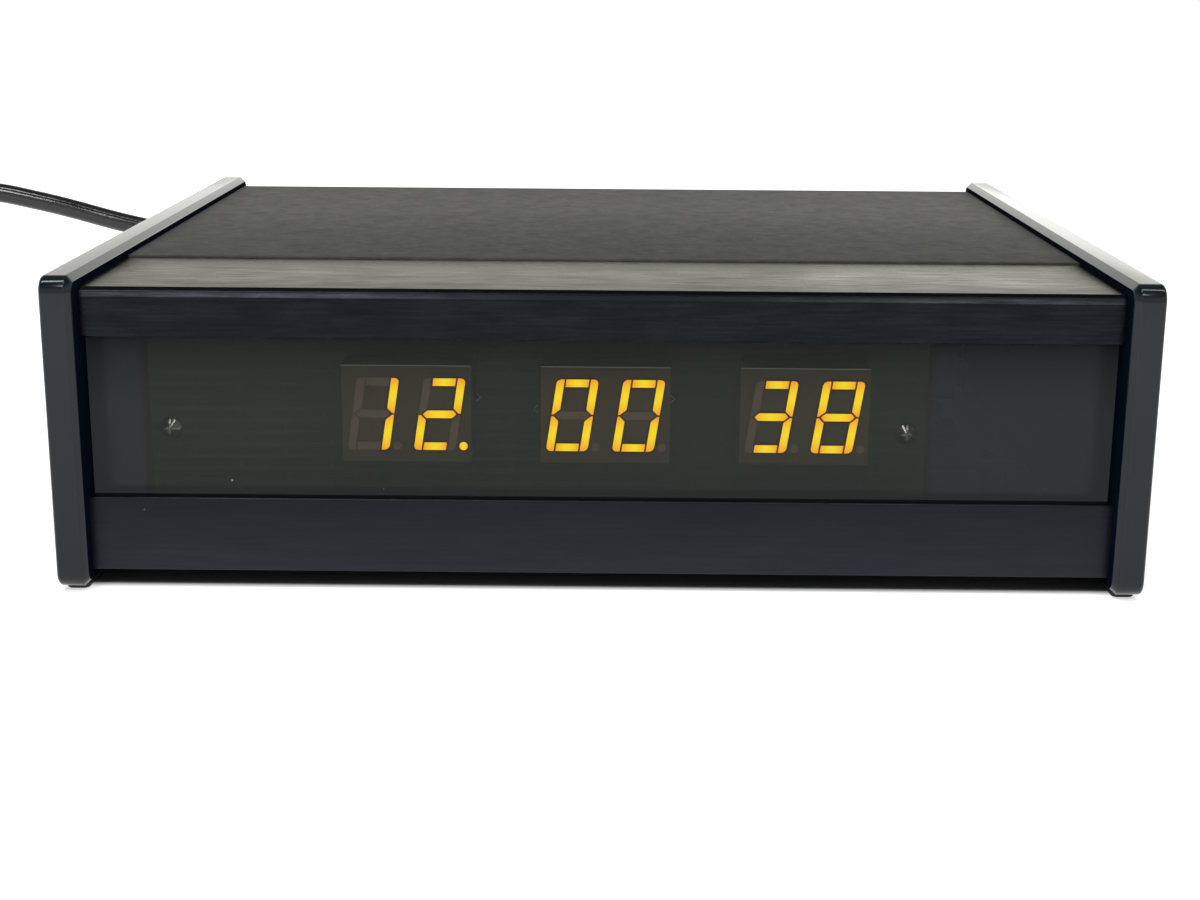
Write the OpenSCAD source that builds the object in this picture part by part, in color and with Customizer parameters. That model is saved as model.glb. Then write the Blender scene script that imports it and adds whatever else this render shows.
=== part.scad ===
// Time code display unit: a bench box with six lit digits behind a smoked window.
// X runs to the right, Y to the back and Z up. The origin is on the table, under the middle of the box.

/* [Case] */
// Overall width across the two side plates
body_w = 206; // [196:1:240]
// Depth of the side plates
plate_d = 172; // [168:1:210]
// Height of the side plates without the feet
plate_h = 59.8; // [57:0.2:75]
// Thickness of each side plate
plate_t = 5.9; // [5:0.1:8]
// Corner radius of the side plates
plate_r = 3.1; // [1.5:0.1:4]
// Bevel along the inner edges of the side plates
plate_bevel = 1.15; // [0.5:0.05:1.4]
// Depth of the grooves in the side plates
groove_d = 1.5; // [1:0.1:2.5]
// Distance of the top and bottom faces from the plate edges
skin_inset = 2.6; // [1.8:0.1:4]
// Sheet thickness of the top and bottom covers
skin_t = 1.6; // [1.2:0.1:2]
// Distance of the covers' rear edge from the rear of the plates
cover_inset = 4.5; // [2:0.1:7]
// Distance of the rear panel from the covers' rear edge
panel_inset = 2.5; // [1:0.1:4]
// Thickness of the rear panel
panel_t = 2; // [1.5:0.1:3]
// Side of the square rear rails
rail_s = 9; // [8:0.5:12]
// Height of the feet
foot_h = 0.9; // [0.6:0.1:3]
// Width of each foot
foot_w = 4.4; // [3:0.1:5]
// Length of each foot
foot_l = 12; // [8:1:20]

/* [Front] */
// Distance of the front trim from the front of the plates
trim_inset = 4.5; // [2:0.1:7]
// Depth of the flat band of the front trim
band_d = 37.7; // [34:0.1:42]
// Height of the front trim's lip
trim_lip = 9.3; // [8:0.1:12]
// Height of the lower front panel's lip
sill_lip = 14.5; // [12:0.1:18]
// Bevel along the front edge of the trim
trim_bevel = 1.7; // [0.5:0.1:2.4]
// Thickness of the flat webs of the front pieces
web_t = 3.2; // [2.8:0.1:4]
// Length of the tongue under the edge of each cover
tongue_l = 6; // [4:0.5:9]
// Distance of the window from the front of the trim
lens_setback = 3.2; // [2.6:0.1:4]
// Thickness of the window
lens_t = 3; // [2:0.1:4]
// Length of window hidden behind each lip
lens_bite = 4; // [3:0.1:5]
// Thickness of the rib behind the window
rib_t = 2; // [1.5:0.1:3]

/* [Display] */
// Width of a two-digit module
module_w = 25; // [24:0.1:28]
// Height of a two-digit module
module_h = 19; // [17:0.1:21]
// Depth of a two-digit module
module_t = 8; // [6:0.1:10]
// Distance between the module centres
module_pitch = 38.1; // [30:0.1:42]
// Gap between the window and the modules
module_gap = 1.3; // [0.8:0.1:3]
// Distance of the middle module from the middle of the display board
module_offset = 13.2; // [10:0.1:16]
// Distance of the digits below the middle of the visible window
display_drop = 0.5; // [-2:0.1:3]
// Distance between the digits of a module
digit_pitch = 12.7; // [11.5:0.1:14]
// Height of a digit
digit_h = 14.2; // [12:0.1:15]
// Width of a digit
digit_w = 8.1; // [7:0.1:9]
// Lean of the digits in degrees
digit_lean = 8.7; // [0:0.1:12]
// Stroke width of a segment
stroke_w = 1.6; // [1:0.05:1.9]
// Gap between neighbouring segments
segment_gap = 0.22; // [0.15:0.01:0.4]
// Thickness of a segment
segment_t = 0.2; // [0.1:0.05:0.5]
// Diameter of a decimal point
point_d = 1.75; // [1.2:0.05:2]
// Width of the display board
display_board_w = 152; // [140:1:170]
// Gap between the display board and the left side plate
display_board_gap = 8.7; // [4:0.1:14]
// Gap between the display board and the web under it
display_board_low = 3.3; // [2:0.1:6]
// Gap between the display board and the web over it
display_board_high = 4.9; // [2:0.1:8]
// Distance of the display board's screws from its ends
display_screw_inset = 3.8; // [3.4:0.1:8]
// Distance of the display board's screws below the middle of the digits
display_screw_drop = 5.1; // [2:0.1:8]
// Width of a display board bracket
bracket_w = 9; // [8:0.5:12]
// Length of a bracket's foot
bracket_l = 13; // [11:0.5:16]
// Sheet thickness of a bracket
bracket_t = 2; // [1.5:0.1:2.5]

/* [Electronics] */
// Thickness of the circuit boards
board_t = 1.6; // [1:0.1:2.4]
// Gap between the main board and the lower front panel
main_front_gap = 7.8; // [6:0.1:12]
// Gap between the main board and the right side plate
main_side_gap = 6; // [3:0.5:8]
// Gap between the main board and the transformer
main_core_gap = 2.5; // [1.5:0.5:4]
// Gap between the main board and the rear rail
main_rear_gap = 6; // [3:0.5:8]
// Height of the main board's spacers
spacer_h = 6; // [4:0.5:8]
// Radius of the main board's spacers
spacer_r = 3; // [2.5:0.1:4]
// Distance of the spacers from the edges of the main board
spacer_inset = 5; // [4:0.1:6]
// Width of the transformer core
core_w = 46; // [42:1:50]
// Height of the transformer core
core_h = 38; // [34:1:40]
// Stack depth of the transformer core
core_d = 22; // [18:1:24]
// Width of the core's middle leg
core_leg = 15; // [12:0.5:17]
// Thickness of the core's yokes
core_yoke = 7; // [5:0.5:8]
// Sheet thickness of the transformer strap
strap_t = 1.2; // [0.8:0.1:2]
// Length of each strap foot
strap_foot = 10; // [9:0.5:12]
// Gap between the transformer's foot and the left side plate
core_side_gap = 2.9; // [1:0.1:6]
// Distance of the transformer's middle in front of the rear panel
core_back = 48; // [46:0.5:54]
// Radius of a filter capacitor
cap_r = 8; // [6:0.5:9]
// Height of a filter capacitor
cap_h = 25; // [18:1:30]
// Height of the heat sink
sink_h = 28; // [20:1:32]
// Width of the flat ribbon cable
ribbon_w = 28; // [20:1:30]
// Thickness of the flat ribbon cable
ribbon_t = 1; // [0.8:0.1:1.5]
// Diameter of the inner wires
wire_d = 1.8; // [1.2:0.1:2.4]

/* [Rear] */
// Distance of the input jack from the right side plate
jack_inset = 63.1; // [40:0.1:72]
// Height of the input jack above the middle of the rear panel
jack_rise = 2.2; // [-2:0.1:4]
// Outer radius of the input jack's shell
jack_r = 4.8; // [4.6:0.05:5.2]
// Reach of the input jack behind the rear panel
jack_out = 11; // [9:0.5:11.5]
// Distance of the fuse holder from the left side plate
fuse_inset = 65.1; // [63:0.1:68]
// Height of the fuse holder above the middle of the rear panel
fuse_rise = 2.2; // [1:0.1:4]
// Radius of the fuse
fuse_r = 3.18; // [2.6:0.02:3.2]
// Length of the fuse
fuse_l = 31.8; // [28:0.2:32]
// Outer radius of the fuse holder's barrel
holder_r = 6.3; // [6.1:0.05:7]
// Radius of the fuse cap's grip
fuse_grip_r = 7; // [6.5:0.1:8]
// Reach of the fuse cap behind the rear panel
fuse_cap_out = 12; // [11.5:0.5:16]
// Distance of the cord's exit from the left side plate
exit_inset = 17.1; // [15:0.1:20]
// Distance of the cord's exit below the middle of the rear panel
exit_drop = 2.8; // [-1:0.1:5]
// Length of the strain relief behind the rear panel
relief_l = 20; // [18:0.5:24]

/* [Cord] */
// Diameter of the mains lead
cord_d = 5.6; // [5:0.1:6]
// Radius of the coil at its outermost turn
coil_r = 36; // [35:0.1:44]
// Number of whole turns in the coil
coil_turns = 8; // [6:1:9]
// Gap kept between turns of the coil
coil_gap = 0.5; // [0.5:0.05:0.8]
// Width of the tie round the coil
tie_w = 5; // [3:0.5:8]
// Thickness of the tie
tie_t = 0.6; // [0.4:0.1:1]

/* [Fasteners and fits] */
// Radius of the case screws
screw_r = 1.5; // [1.25:0.05:1.75]
// Radius of the screws' heads
head_r = 2.9; // [2.6:0.1:3.2]
// Radius of the heads of the display board's screws
display_head_r = 2.25; // [2:0.05:2.6]
// Height of the rounded screw heads
head_h = 1.5; // [1:0.1:1.8]
// Clearance between a sheet and its groove or slot
fit = 0.15; // [0.1:0.05:0.25]
// Radial clearance between a screw and its thread
thread_fit = 0.05; // [0.02:0.01:0.1]
// Radial clearance of the turning fuse cap
running_fit = 0.05; // [0.02:0.01:0.1]
// Air kept between a turning face and a fixed one
turn_gap = 0.3; // [0.3:0.05:0.6]

/* [Hidden] */
$fn = 48;

// Main planes of the case
in_x = body_w / 2 - plate_t;
cap_reach = fuse_cap_out - panel_inset - cover_inset;
y_front = -(plate_d + cap_reach) / 2;
y_trim = y_front + trim_inset;
y_seam = y_trim + band_d;
y_cover_end = y_front + plate_d - cover_inset;
y_panel = y_cover_end - panel_inset;
y_panel_in = y_panel - panel_t;
y_rail = y_panel_in - rail_s;
z_bottom = foot_h + skin_inset;
z_top = foot_h + plate_h - skin_inset;
z_floor = z_bottom + skin_t;
z_ceiling = z_top - skin_t;
z_web = z_bottom + web_t;
z_web_high = z_top - web_t;
z_mid = (z_floor + z_ceiling) / 2;
seam = 0.2;
foot_inset = 0.4;
past = 1;

// Front pieces and window
lip_wall = lens_setback - fit;
slot_w = lens_t + 2 * fit;
rib_back = lip_wall + slot_w + rib_t;
edge_break = 0.4;
boss_wall = 1.7;
boss_r = screw_r + boss_wall;
boss_sink = 0.8;
trim_boss = [rib_back + boss_r - boss_sink, -web_t - boss_r + boss_sink];
y_lens = y_trim + lens_setback;
z_lens_low = z_bottom + sill_lip - lens_bite;
z_lens_high = z_top - trim_lip + lens_bite;

// Places of the side screws, as Y and Z
side_screw_l = 14;
side_screw_at = [
    [y_trim + trim_boss[0], z_top + trim_boss[1]],
    [y_trim + rib_back / 2, z_bottom + (sill_lip - lens_bite) / 2],
    [y_rail + rail_s / 2, z_floor + rail_s / 2],
    [y_rail + rail_s / 2, z_ceiling - rail_s / 2]];
sink_depth = head_r - screw_r;
rear_screw_inset = 14;
rear_screw_x = in_x - rear_screw_inset;
rear_screw_l = 7;
thread_floor = 0.5;

// Display
display_z = (z_bottom + sill_lip + z_top - trim_lip) / 2 - display_drop;
display_screw_z = display_z - display_screw_drop;
display_board_z = z_web + display_board_low;
display_board_h = z_web_high - display_board_high - display_board_z;
display_board_x = display_board_gap + display_board_w / 2 - in_x;
display_x = display_board_x + module_offset;
y_module = y_lens + lens_t + module_gap;
y_display = y_module + module_t;
y_bracket = y_display + board_t;
display_screw_x = [for (s = [-1, 1])
    display_board_x + s * (display_board_w / 2 - display_screw_inset)];
bracket_rise = 6;
bracket_screw_y = y_bracket + bracket_t + (bracket_l - bracket_t) / 2;
bracket_screw_l = bracket_t + web_t - thread_floor;
display_screw_l = 7;
lean = tan(digit_lean);
nib = stroke_w / 2;
corner_r = 0.95;
point_offset = 1.55;

// Segments that are lit, digit by digit, named a to g and p for the point
lit_names = ["bc", "abdegp", "abcdef", "abcdef", "abcdg", "abcdefg"];
all_names = "abcdefgp";

// Main board and what stands on it
core_x = core_side_gap + strap_foot + strap_t + core_w / 2 - in_x;
main_left = core_x + core_w / 2 + strap_t + main_core_gap;
main_right = in_x - main_side_gap;
main_front = y_seam + tongue_l + main_front_gap;
main_rear = y_rail - main_rear_gap;
main_w = main_right - main_left;
main_d = main_rear - main_front;
main_x = (main_left + main_right) / 2;
main_y = (main_front + main_rear) / 2;
z_main = z_floor + spacer_h;
z_parts = z_main + board_t;
spacer_x = main_w / 2 - spacer_inset;
spacer_y = main_d / 2 - spacer_inset;
board_thread = 4;
board_screw_l = board_t + board_thread;
chip = [20, 6.6, 3.6];
chip_pitch = [24, 20];
chip_first = [31.2, 22];
chip_margin = 21.2;
chip_columns = floor((main_w - chip_first[0] - chip_margin) / chip_pitch[0] + 0.01) + 1;
power_inset = 11.2;
power_x = main_left + power_inset;
cap_back = [56, 34];
cap_dish = 0.5;
cap_rim = 1.2;
bridge = [14, 5, 12];
bridge_back = 18;
sink_size = [30, 12];
sink_inset = [40.2, 10];
sink_at = [main_left + sink_inset[0], main_rear - sink_inset[1]];
sink_fin = 1.6;
sink_web = 3;
sink_fins = 6;
regulator_size = [10, 4.6, 16];
crystal_size = [11, 4.7, 13];
crystal_inset = [9.2, 28];
header = [32, 6, 8];
header_inset = [45.2, 6];
header_at = [main_left + header_inset[0], main_front + header_inset[1]];
header_drop = 12.9;
display_header_z = display_z - header_drop;
ribbon_rise = 6;
ribbon_lead = 12;
ribbon_bend = 5;

// Transformer
core_y = y_panel - core_back;
window_w = (core_w - 2 * core_leg) / 2;
window_h = core_h - 2 * core_yoke;
winding_fit = 0.3;
coil_build = window_w - winding_fit;
strap_screw_x = core_w / 2 + strap_t + strap_foot / 2;
strap_screw_l = strap_t + skin_t - thread_floor;

// Rear fittings
jack_x = in_x - jack_inset;
jack_z = z_mid + jack_rise;
fuse_x = fuse_inset - in_x;
fuse_z = z_mid + fuse_rise;
exit_x = exit_inset - in_x;
exit_z = z_mid - exit_drop;
jack_step = 0.1;
jack_wall = 0.75;
hex_over = 2.7;
jack_stub_r = jack_r - jack_step;
jack_hex_r = jack_r + hex_over;
jack_hex_t = 2.2;
jack_bore_r = jack_r - jack_wall;
jack_stub_l = 8;
jack_nut_t = 2.4;
lug_r = 1;
lug_l = 1.7;
lug_root = 0.5;
lug_back = 3.2;
contact_r = 0.7;
contact_back = 2.5;
contact_tail = 2;
insulator_r = 2.4;
insulator_back = 2;
holder_flange_over = 2;
holder_flange_r = holder_r + holder_flange_over;
holder_flange_t = 2;
holder_wall = 1.3;
holder_bore_r = holder_r - holder_wall;
holder_nut_t = 3.5;
holder_end = 2;
cap_stem_l = 9;
fuse_socket = 6;
ferrule_l = 6;
ferrule_wall = 0.3;
coin_slot = 1.4;
fuse_start = y_panel + holder_flange_t + turn_gap - cap_stem_l + fuse_socket;
holder_l = y_panel_in - (fuse_start - fuse_l - turn_gap - holder_end);
grip_ribs = 20;
grip_rib_r = 0.5;
grip_collar = 1.5;
grip_chamfer = 1;
relief_flange_t = 3;
relief_flange_r = 7.5;
relief_barrel_r = 6.3;
relief_barrel_in = 4;
relief_wall = 0.9;
relief_step = 2;
relief_tip_r = cord_d / 2 + relief_wall;

// Heights of the coil, whose tie lies on the table
coil_layers = 4;
coil_step = cord_d + coil_gap;
tie_gap = 0.3;
coil_z_low = tie_t + tie_gap + cord_d / 2;
coil_z_high = coil_z_low + (coil_layers - 1) * coil_step;

// Cord route: out of the strain relief, round to the left, over a low arch and down to the coil
cord_sides = 10;
cord_exit = [exit_x, y_panel + relief_l, exit_z];
cord_route = [cord_exit, [-80, 104, 28], [-81.5, 112.5, 28.5], [-85.5, 120, 29.5], [-91.5, 126, 30.5],
    [-99, 130, 32], [-108, 132, 33.5], [-117, 132.5, 35.5], [-126.5, 132.5, 37.5], [-136, 132.5, 39.5],
    [-145, 132, 41.5], [-154, 132, 44], [-163, 131.5, 46.5], [-172, 131, 48.5], [-180.5, 130.5, 50.5],
    [-189, 130, 50.5], [-197, 129, 48], [-204.5, 128, 43.5], [-212, 127, 38], [-219.5, 126.5, 32.5],
    [-227, 126, 27.5], [-235, 125.5, 24], [-243.5, 125, coil_z_high], [-252, 125, coil_z_high]];

// Coil: the lead comes in at the top layer and leaves at the bottom one, a quarter turn on
coil_sides = 6;
rings_per_turn = 24;
last_part_turn = 0.25;
wound_turns = coil_turns + last_part_turn;
layer_turns = wound_turns / coil_layers;
coil_lead = cord_d;
coil_start = cord_route[len(cord_route) - 1];
coil_x = coil_start[0] - coil_lead;
coil_y = coil_start[1] - coil_r;
climb_turns = 0.5;
coil_steps = round(wound_turns * rings_per_turn);

// Tail of the lead, the tie and the plug
tail_x = coil_x - coil_r;
tail_y = coil_y - coil_lead;
plug_z = 11;
tail_run = 48;
tail_steps = 6;
tie_angle = 300;
plug_y = tail_y - tail_run;
plug_tail_l = 18;
plug_body_l = 38;
plug_w = 26;
plug_h = 2 * plug_z;
plug_neck = 4;
plug_slope_l = 12;
plug_flare = 2.5;
blade = [1.5, 16, 6.35];
blade_x = 6.35;
blade_rise = 5;
blade_z = plug_z + blade_rise;
earth_r = 2.4;
earth_l = 19;
earth_drop = 11.9;

// Shared shapes

// Cylinder along +Y from the point at
module rod_y(at, l, r) {
    translate(at) rotate([-90, 0, 0]) cylinder(h = l, r = r);
}

// Cone along +Y from the point at
module cone_y(at, l, r_near, r_far) {
    translate(at) rotate([-90, 0, 0]) cylinder(h = l, r1 = r_near, r2 = r_far);
}

// Six-sided prism along +Y from the point at
module hex_y(at, l, r) {
    translate(at) rotate([-90, 0, 0]) cylinder(h = l, r = r, $fn = 6);
}

// Cylinder along X from the point at, towards dir
module rod_x(at, l, r, dir) {
    translate(at) rotate([0, dir * 90, 0]) cylinder(h = l, r = r);
}

// Block from its lowest corner
module block(low, size) {
    translate(low) cube(size);
}

// Block that stands on z, centred in X and Y
module standing(at, size) {
    translate([at[0] - size[0] / 2, at[1] - size[1] / 2, at[2]]) cube(size);
}

// Outline drawn in Y and Z, pushed along X from x0 to x1
module push_x(x0, x1) {
    translate([x0, 0, 0]) rotate([90, 0, 90]) linear_extrude(x1 - x0) children();
}

// Rectangle with round corners
module round_rect(low, size, r) {
    translate([low[0] + r, low[1]]) square([size[0] - 2 * r, size[1]]);
    translate([low[0], low[1] + r]) square([size[0], size[1] - 2 * r]);
    for (x = [low[0] + r, low[0] + size[0] - r], y = [low[1] + r, low[1] + size[1] - r])
        translate([x, y]) circle(r);
}

// Cross recess of a screw, cut downwards from the top of the head at z = 0
module cross_recess(r, depth) {
    width = r / 3;
    for (turn = [0, 90])
        rotate([0, 0, turn]) translate([-r * 0.6, -width / 2, -depth]) cube([r * 1.2, width, depth + past]);
}

// Rounded screw that points down, with the underside of its head at z = 0
module pan_screw(l, r, cap_radius, cap_height) {
    difference() {
        union() {
            translate([0, 0, -l]) cylinder(h = l, r = r);
            cylinder(h = cap_height * 0.6, r = cap_radius);
            translate([0, 0, cap_height * 0.6])
                cylinder(h = cap_height * 0.4, r1 = cap_radius, r2 = cap_radius * 0.75);
        }
        translate([0, 0, cap_height]) cross_recess(cap_radius, cap_height * 0.55);
    }
}

// Flush screw that points down, with the top of its head at z = 0
module flush_screw(l, r, cap_radius) {
    difference() {
        union() {
            translate([0, 0, -l]) cylinder(h = l, r = r);
            translate([0, 0, r - cap_radius]) cylinder(h = cap_radius - r, r1 = r, r2 = cap_radius);
        }
        cross_recess(cap_radius, (cap_radius - r) * 0.7);
    }
}

function unit(v) = v / norm(v);

function tangent(p, i) =
    i == 0 ? unit(p[1] - p[0]) :
    i == len(p) - 1 ? unit(p[i] - p[i - 1]) :
    unit(unit(p[i + 1] - p[i]) + unit(p[i] - p[i - 1]));

function squared_to(n, t) = unit(n - (n * t) * t);

// Side directions that are carried along a path without twisting
function side_directions(p) =
    let (t0 = tangent(p, 0), first = abs(t0[2]) < 0.9 ? [0, 0, 1] : [1, 0, 0])
    [for (i = 0, n = squared_to(first, t0);
        i < len(p);
        i = i + 1, n = i < len(p) ? squared_to(n, tangent(p, i)) : n) n];

// Closed round tube along a path of points
module tube(p, r, sides) {
    n = side_directions(p);
    rings = len(p);
    points = [for (i = [0 : rings - 1], k = [0 : sides - 1])
        let (b = cross(tangent(p, i), n[i]), a = 360 * (k + 0.5) / sides)
        p[i] + r * (cos(a) * n[i] + sin(a) * b)];
    walls = [for (i = [0 : rings - 2], k = [0 : sides - 1])
        let (a = i * sides + k, b = i * sides + (k + 1) % sides, c = a + sides, d = b + sides)
        each [[a, c, b], [b, c, d]]];
    start = [for (k = [1 : sides - 2]) [0, k, k + 1]];
    last = (rings - 1) * sides;
    end = [for (k = [1 : sides - 2]) [last, last + k + 1, last + k]];
    polyhedron(points, concat(walls, start, end));
}

// Flat strip of thickness t along a path in the plane
function strip_normal(p, i) =
    let (a = i > 0 ? unit(p[i] - p[i - 1]) : unit(p[1] - p[0]),
        b = i < len(p) - 1 ? unit(p[i + 1] - p[i]) : a,
        n = unit([-a[1] - b[1], a[0] + b[0]]))
    n / (n * [-a[1], a[0]]);

module strip(p, t) {
    last = len(p) - 1;
    upper = [for (i = [0 : last]) p[i] + strip_normal(p, i) * t / 2];
    lower = [for (i = [last : -1 : 0]) p[i] - strip_normal(p, i) * t / 2];
    polygon(concat(upper, lower));
}

// Case

module side_plate(side) {
    x_low = side > 0 ? in_x : -body_w / 2;
    face_x = side * in_x;
    inner = side > 0 ? face_x - past : face_x - groove_d;
    difference() {
        push_x(x_low, x_low + plate_t)
            round_rect([y_front, foot_h], [plate_d, plate_h], plate_r);
        for (z = [foot_h, foot_h + plate_h])
            translate([face_x, y_front - past, z]) rotate([0, 45, 0])
                translate([-plate_bevel / sqrt(2), 0, -plate_bevel / sqrt(2)])
                cube([plate_bevel * sqrt(2), plate_d + 2 * past, plate_bevel * sqrt(2)]);
        for (y = [y_front, y_front + plate_d])
            translate([face_x, y, foot_h - past]) rotate([0, 0, 45])
                translate([-plate_bevel / sqrt(2), -plate_bevel / sqrt(2), 0])
                cube([plate_bevel * sqrt(2), plate_bevel * sqrt(2), plate_h + 2 * past]);
        for (z = [z_bottom - fit, z_ceiling - fit])
            block([inner, y_seam, z],
                [groove_d + past, y_cover_end + fit - y_seam, skin_t + 2 * fit]);
        block([inner, y_panel_in - fit, z_bottom],
            [groove_d + past, panel_t + 2 * fit, z_top - z_bottom]);
        for (at = side_screw_at) {
            rod_x([side * (body_w / 2 + past), at[0], at[1]], plate_t + 2 * past, screw_r + fit, -side);
            translate([side * (body_w / 2), at[0], at[1]]) rotate([0, -side * 90, 0])
                cylinder(h = sink_depth + fit, r1 = head_r + fit, r2 = screw_r + fit);
        }
    }
}

module side_plate_left() {
    color("#1a1b1d") side_plate(-1);
}

module side_plate_right() {
    color("#1a1b1d") side_plate(1);
}

// Thread at both ends of a piece that lies between the side plates
module end_threads(at) {
    for (side = [-1, 1])
        rod_x([side * (in_x + past), at[0], at[1]], side_screw_l - plate_t + 2 * past,
            screw_r + thread_fit, -side);
}

module front_trim() {
    profile = [
        [0, -trim_lip], [lip_wall, -trim_lip], [lip_wall, -web_t], [lip_wall + slot_w, -web_t],
        [lip_wall + slot_w, -trim_lip + past], [rib_back, -trim_lip + past], [rib_back, -web_t],
        [band_d + tongue_l, -web_t], [band_d + tongue_l, -skin_t - fit], [band_d, -skin_t - fit],
        [band_d, 0], [trim_bevel, 0], [0, -trim_bevel]];
    color("#2b2d30") difference() {
        push_x(-in_x, in_x) translate([y_trim, z_top]) {
            polygon(profile);
            translate(trim_boss) circle(boss_r);
        }
        end_threads(side_screw_at[0]);
    }
}

module lower_front_panel() {
    rib_top = sill_lip - past;
    profile = [
        [edge_break, 0], [band_d, 0], [band_d, skin_t + fit], [band_d + tongue_l, skin_t + fit],
        [band_d + tongue_l, web_t], [rib_back, web_t], [rib_back, rib_top],
        [lip_wall + slot_w, rib_top], [lip_wall + slot_w, sill_lip - lens_bite],
        [lip_wall, sill_lip - lens_bite], [lip_wall, sill_lip], [edge_break, sill_lip],
        [0, sill_lip - edge_break], [0, edge_break]];
    color("#2b2d30") difference() {
        push_x(-in_x, in_x) translate([y_trim, z_bottom]) polygon(profile);
        end_threads(side_screw_at[1]);
        for (x = display_screw_x)
            translate([x, bracket_screw_y, z_web - (bracket_screw_l - bracket_t) - thread_fit])
                cylinder(h = bracket_screw_l + past, r = screw_r + thread_fit);
    }
}

module cover_sheet(z) {
    half = in_x + groove_d - fit;
    block([-half, y_seam + seam, z], [2 * half, y_cover_end - y_seam - seam, skin_t]);
}

module top_cover() {
    color("#242527") cover_sheet(z_ceiling);
}

module bottom_cover() {
    color("#242527") difference() {
        cover_sheet(z_bottom);
        for (side = [-1, 1])
            translate([core_x + side * strap_screw_x, core_y, z_floor - strap_screw_l + strap_t - thread_fit])
                cylinder(h = strap_screw_l + past, r = screw_r + thread_fit);
    }
}

module rear_panel() {
    half = in_x + groove_d - fit;
    color("#303236") difference() {
        block([-half, y_panel_in, z_floor], [2 * half, panel_t, z_ceiling - z_floor]);
        rod_y([jack_x, y_panel_in - past, jack_z], panel_t + 2 * past, jack_stub_r + fit);
        rod_y([fuse_x, y_panel_in - past, fuse_z], panel_t + 2 * past, holder_r + fit);
        rod_y([exit_x, y_panel_in - past, exit_z], panel_t + 2 * past, relief_barrel_r + fit);
        for (side = [-1, 1], z = [z_floor + rail_s / 2, z_ceiling - rail_s / 2])
            rod_y([side * rear_screw_x, y_panel_in - past, z], panel_t + 2 * past, screw_r + fit);
    }
}

module rear_rail(z, screw_at) {
    difference() {
        block([-in_x, y_rail, z], [2 * in_x, rail_s, rail_s]);
        end_threads(screw_at);
        for (side = [-1, 1])
            rod_y([side * rear_screw_x, y_panel_in - rear_screw_l, z + rail_s / 2], rear_screw_l + past,
                screw_r + thread_fit);
    }
}

module rear_rail_top() {
    color("#8d9094") rear_rail(z_ceiling - rail_s, side_screw_at[3]);
}

module rear_rail_bottom() {
    color("#8d9094") rear_rail(z_floor, side_screw_at[2]);
}

module side_screws(side) {
    for (at = side_screw_at)
        translate([side * body_w / 2, at[0], at[1]]) rotate([0, side * 90, 0])
            flush_screw(side_screw_l, screw_r, head_r);
}

module side_screws_left() {
    color("#202124") side_screws(-1);
}

module side_screws_right() {
    color("#202124") side_screws(1);
}

module rear_panel_screws() {
    color("#202124")
    for (side = [-1, 1], z = [z_floor + rail_s / 2, z_ceiling - rail_s / 2])
        translate([side * rear_screw_x, y_panel, z]) rotate([-90, 0, 0])
            pan_screw(panel_t + rear_screw_l - past, screw_r, head_r, head_h);
}

module feet() {
    first = plate_r + foot_inset;
    color("#151515")
    for (side = [-1, 1], y = [y_front + first, y_front + plate_d - first - foot_l])
        standing([side * (body_w - plate_t) / 2, y + foot_l / 2, 0], [foot_w, foot_l, foot_h]);
}

module window() {
    color([0.16, 0.18, 0.17, 0.5])
    block([-in_x + fit, y_lens, z_lens_low], [2 * (in_x - fit), lens_t, z_lens_high - z_lens_low]);
}

// Display

module display_board() {
    color("#2f4a33") difference() {
        block([display_board_x - display_board_w / 2, y_display, display_board_z],
            [display_board_w, board_t, display_board_h]);
        for (x = display_screw_x)
            rod_y([x, y_display - past, display_screw_z], board_t + 2 * past, screw_r + fit);
    }
}

module digit_module(place) {
    color("#4a443c")
    block([display_x + place * module_pitch - module_w / 2, y_module, display_z - module_h / 2],
        [module_w, module_t, module_h]);
}

module module_hours() {
    digit_module(-1);
}

module module_minutes() {
    digit_module(0);
}

module module_seconds() {
    digit_module(1);
}

// Points of an arc, used for the round outer corners of the segments
function corner_arc(cx, cy, from) = [for (a = [0 : 15 : 90])
    [cx + corner_r * cos(from + a), cy + corner_r * sin(from + a)]];

// Upper right upright, before the lean: a round outer corner and a slanted lower end
function upright() =
    let (x1 = digit_w / 2, x0 = x1 - stroke_w, top = digit_h / 2, low = segment_gap / 2, tip = stroke_w * 0.3)
    concat([[x0, low + nib + segment_gap], [x1 - tip, low], [x1, low]],
        corner_arc(x1 - corner_r, top - corner_r, 0), [[x0, top]]);

function crossbar() =
    let (x = digit_w / 2 - stroke_w - segment_gap, top = digit_h / 2)
    [[-x, top - stroke_w], [x, top - stroke_w], [x, top], [-x, top]];

function middle_bar() =
    let (x = digit_w / 2 - stroke_w * 0.3 - segment_gap * 1.2, y = stroke_w / 2)
    [[-x, 0], [-x + y, -y], [x - y, -y], [x, 0], [x - y, y], [-x + y, y]];

function leaned(p, fx, fy) = [for (q = p) [fx * q[0] + lean * fy * q[1], fy * q[1]]];

module segment(name) {
    if (name == "a") polygon(leaned(crossbar(), 1, 1));
    if (name == "d") polygon(leaned(crossbar(), 1, -1));
    if (name == "b") polygon(leaned(upright(), 1, 1));
    if (name == "c") polygon(leaned(upright(), 1, -1));
    if (name == "e") polygon(leaned(upright(), -1, -1));
    if (name == "f") polygon(leaned(upright(), -1, 1));
    if (name == "g") polygon(leaned(middle_bar(), 1, 1));
    if (name == "p")
        translate([digit_w / 2 + point_offset - lean * digit_h / 2, (point_d - digit_h) / 2])
            circle(point_d / 2);
}

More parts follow.
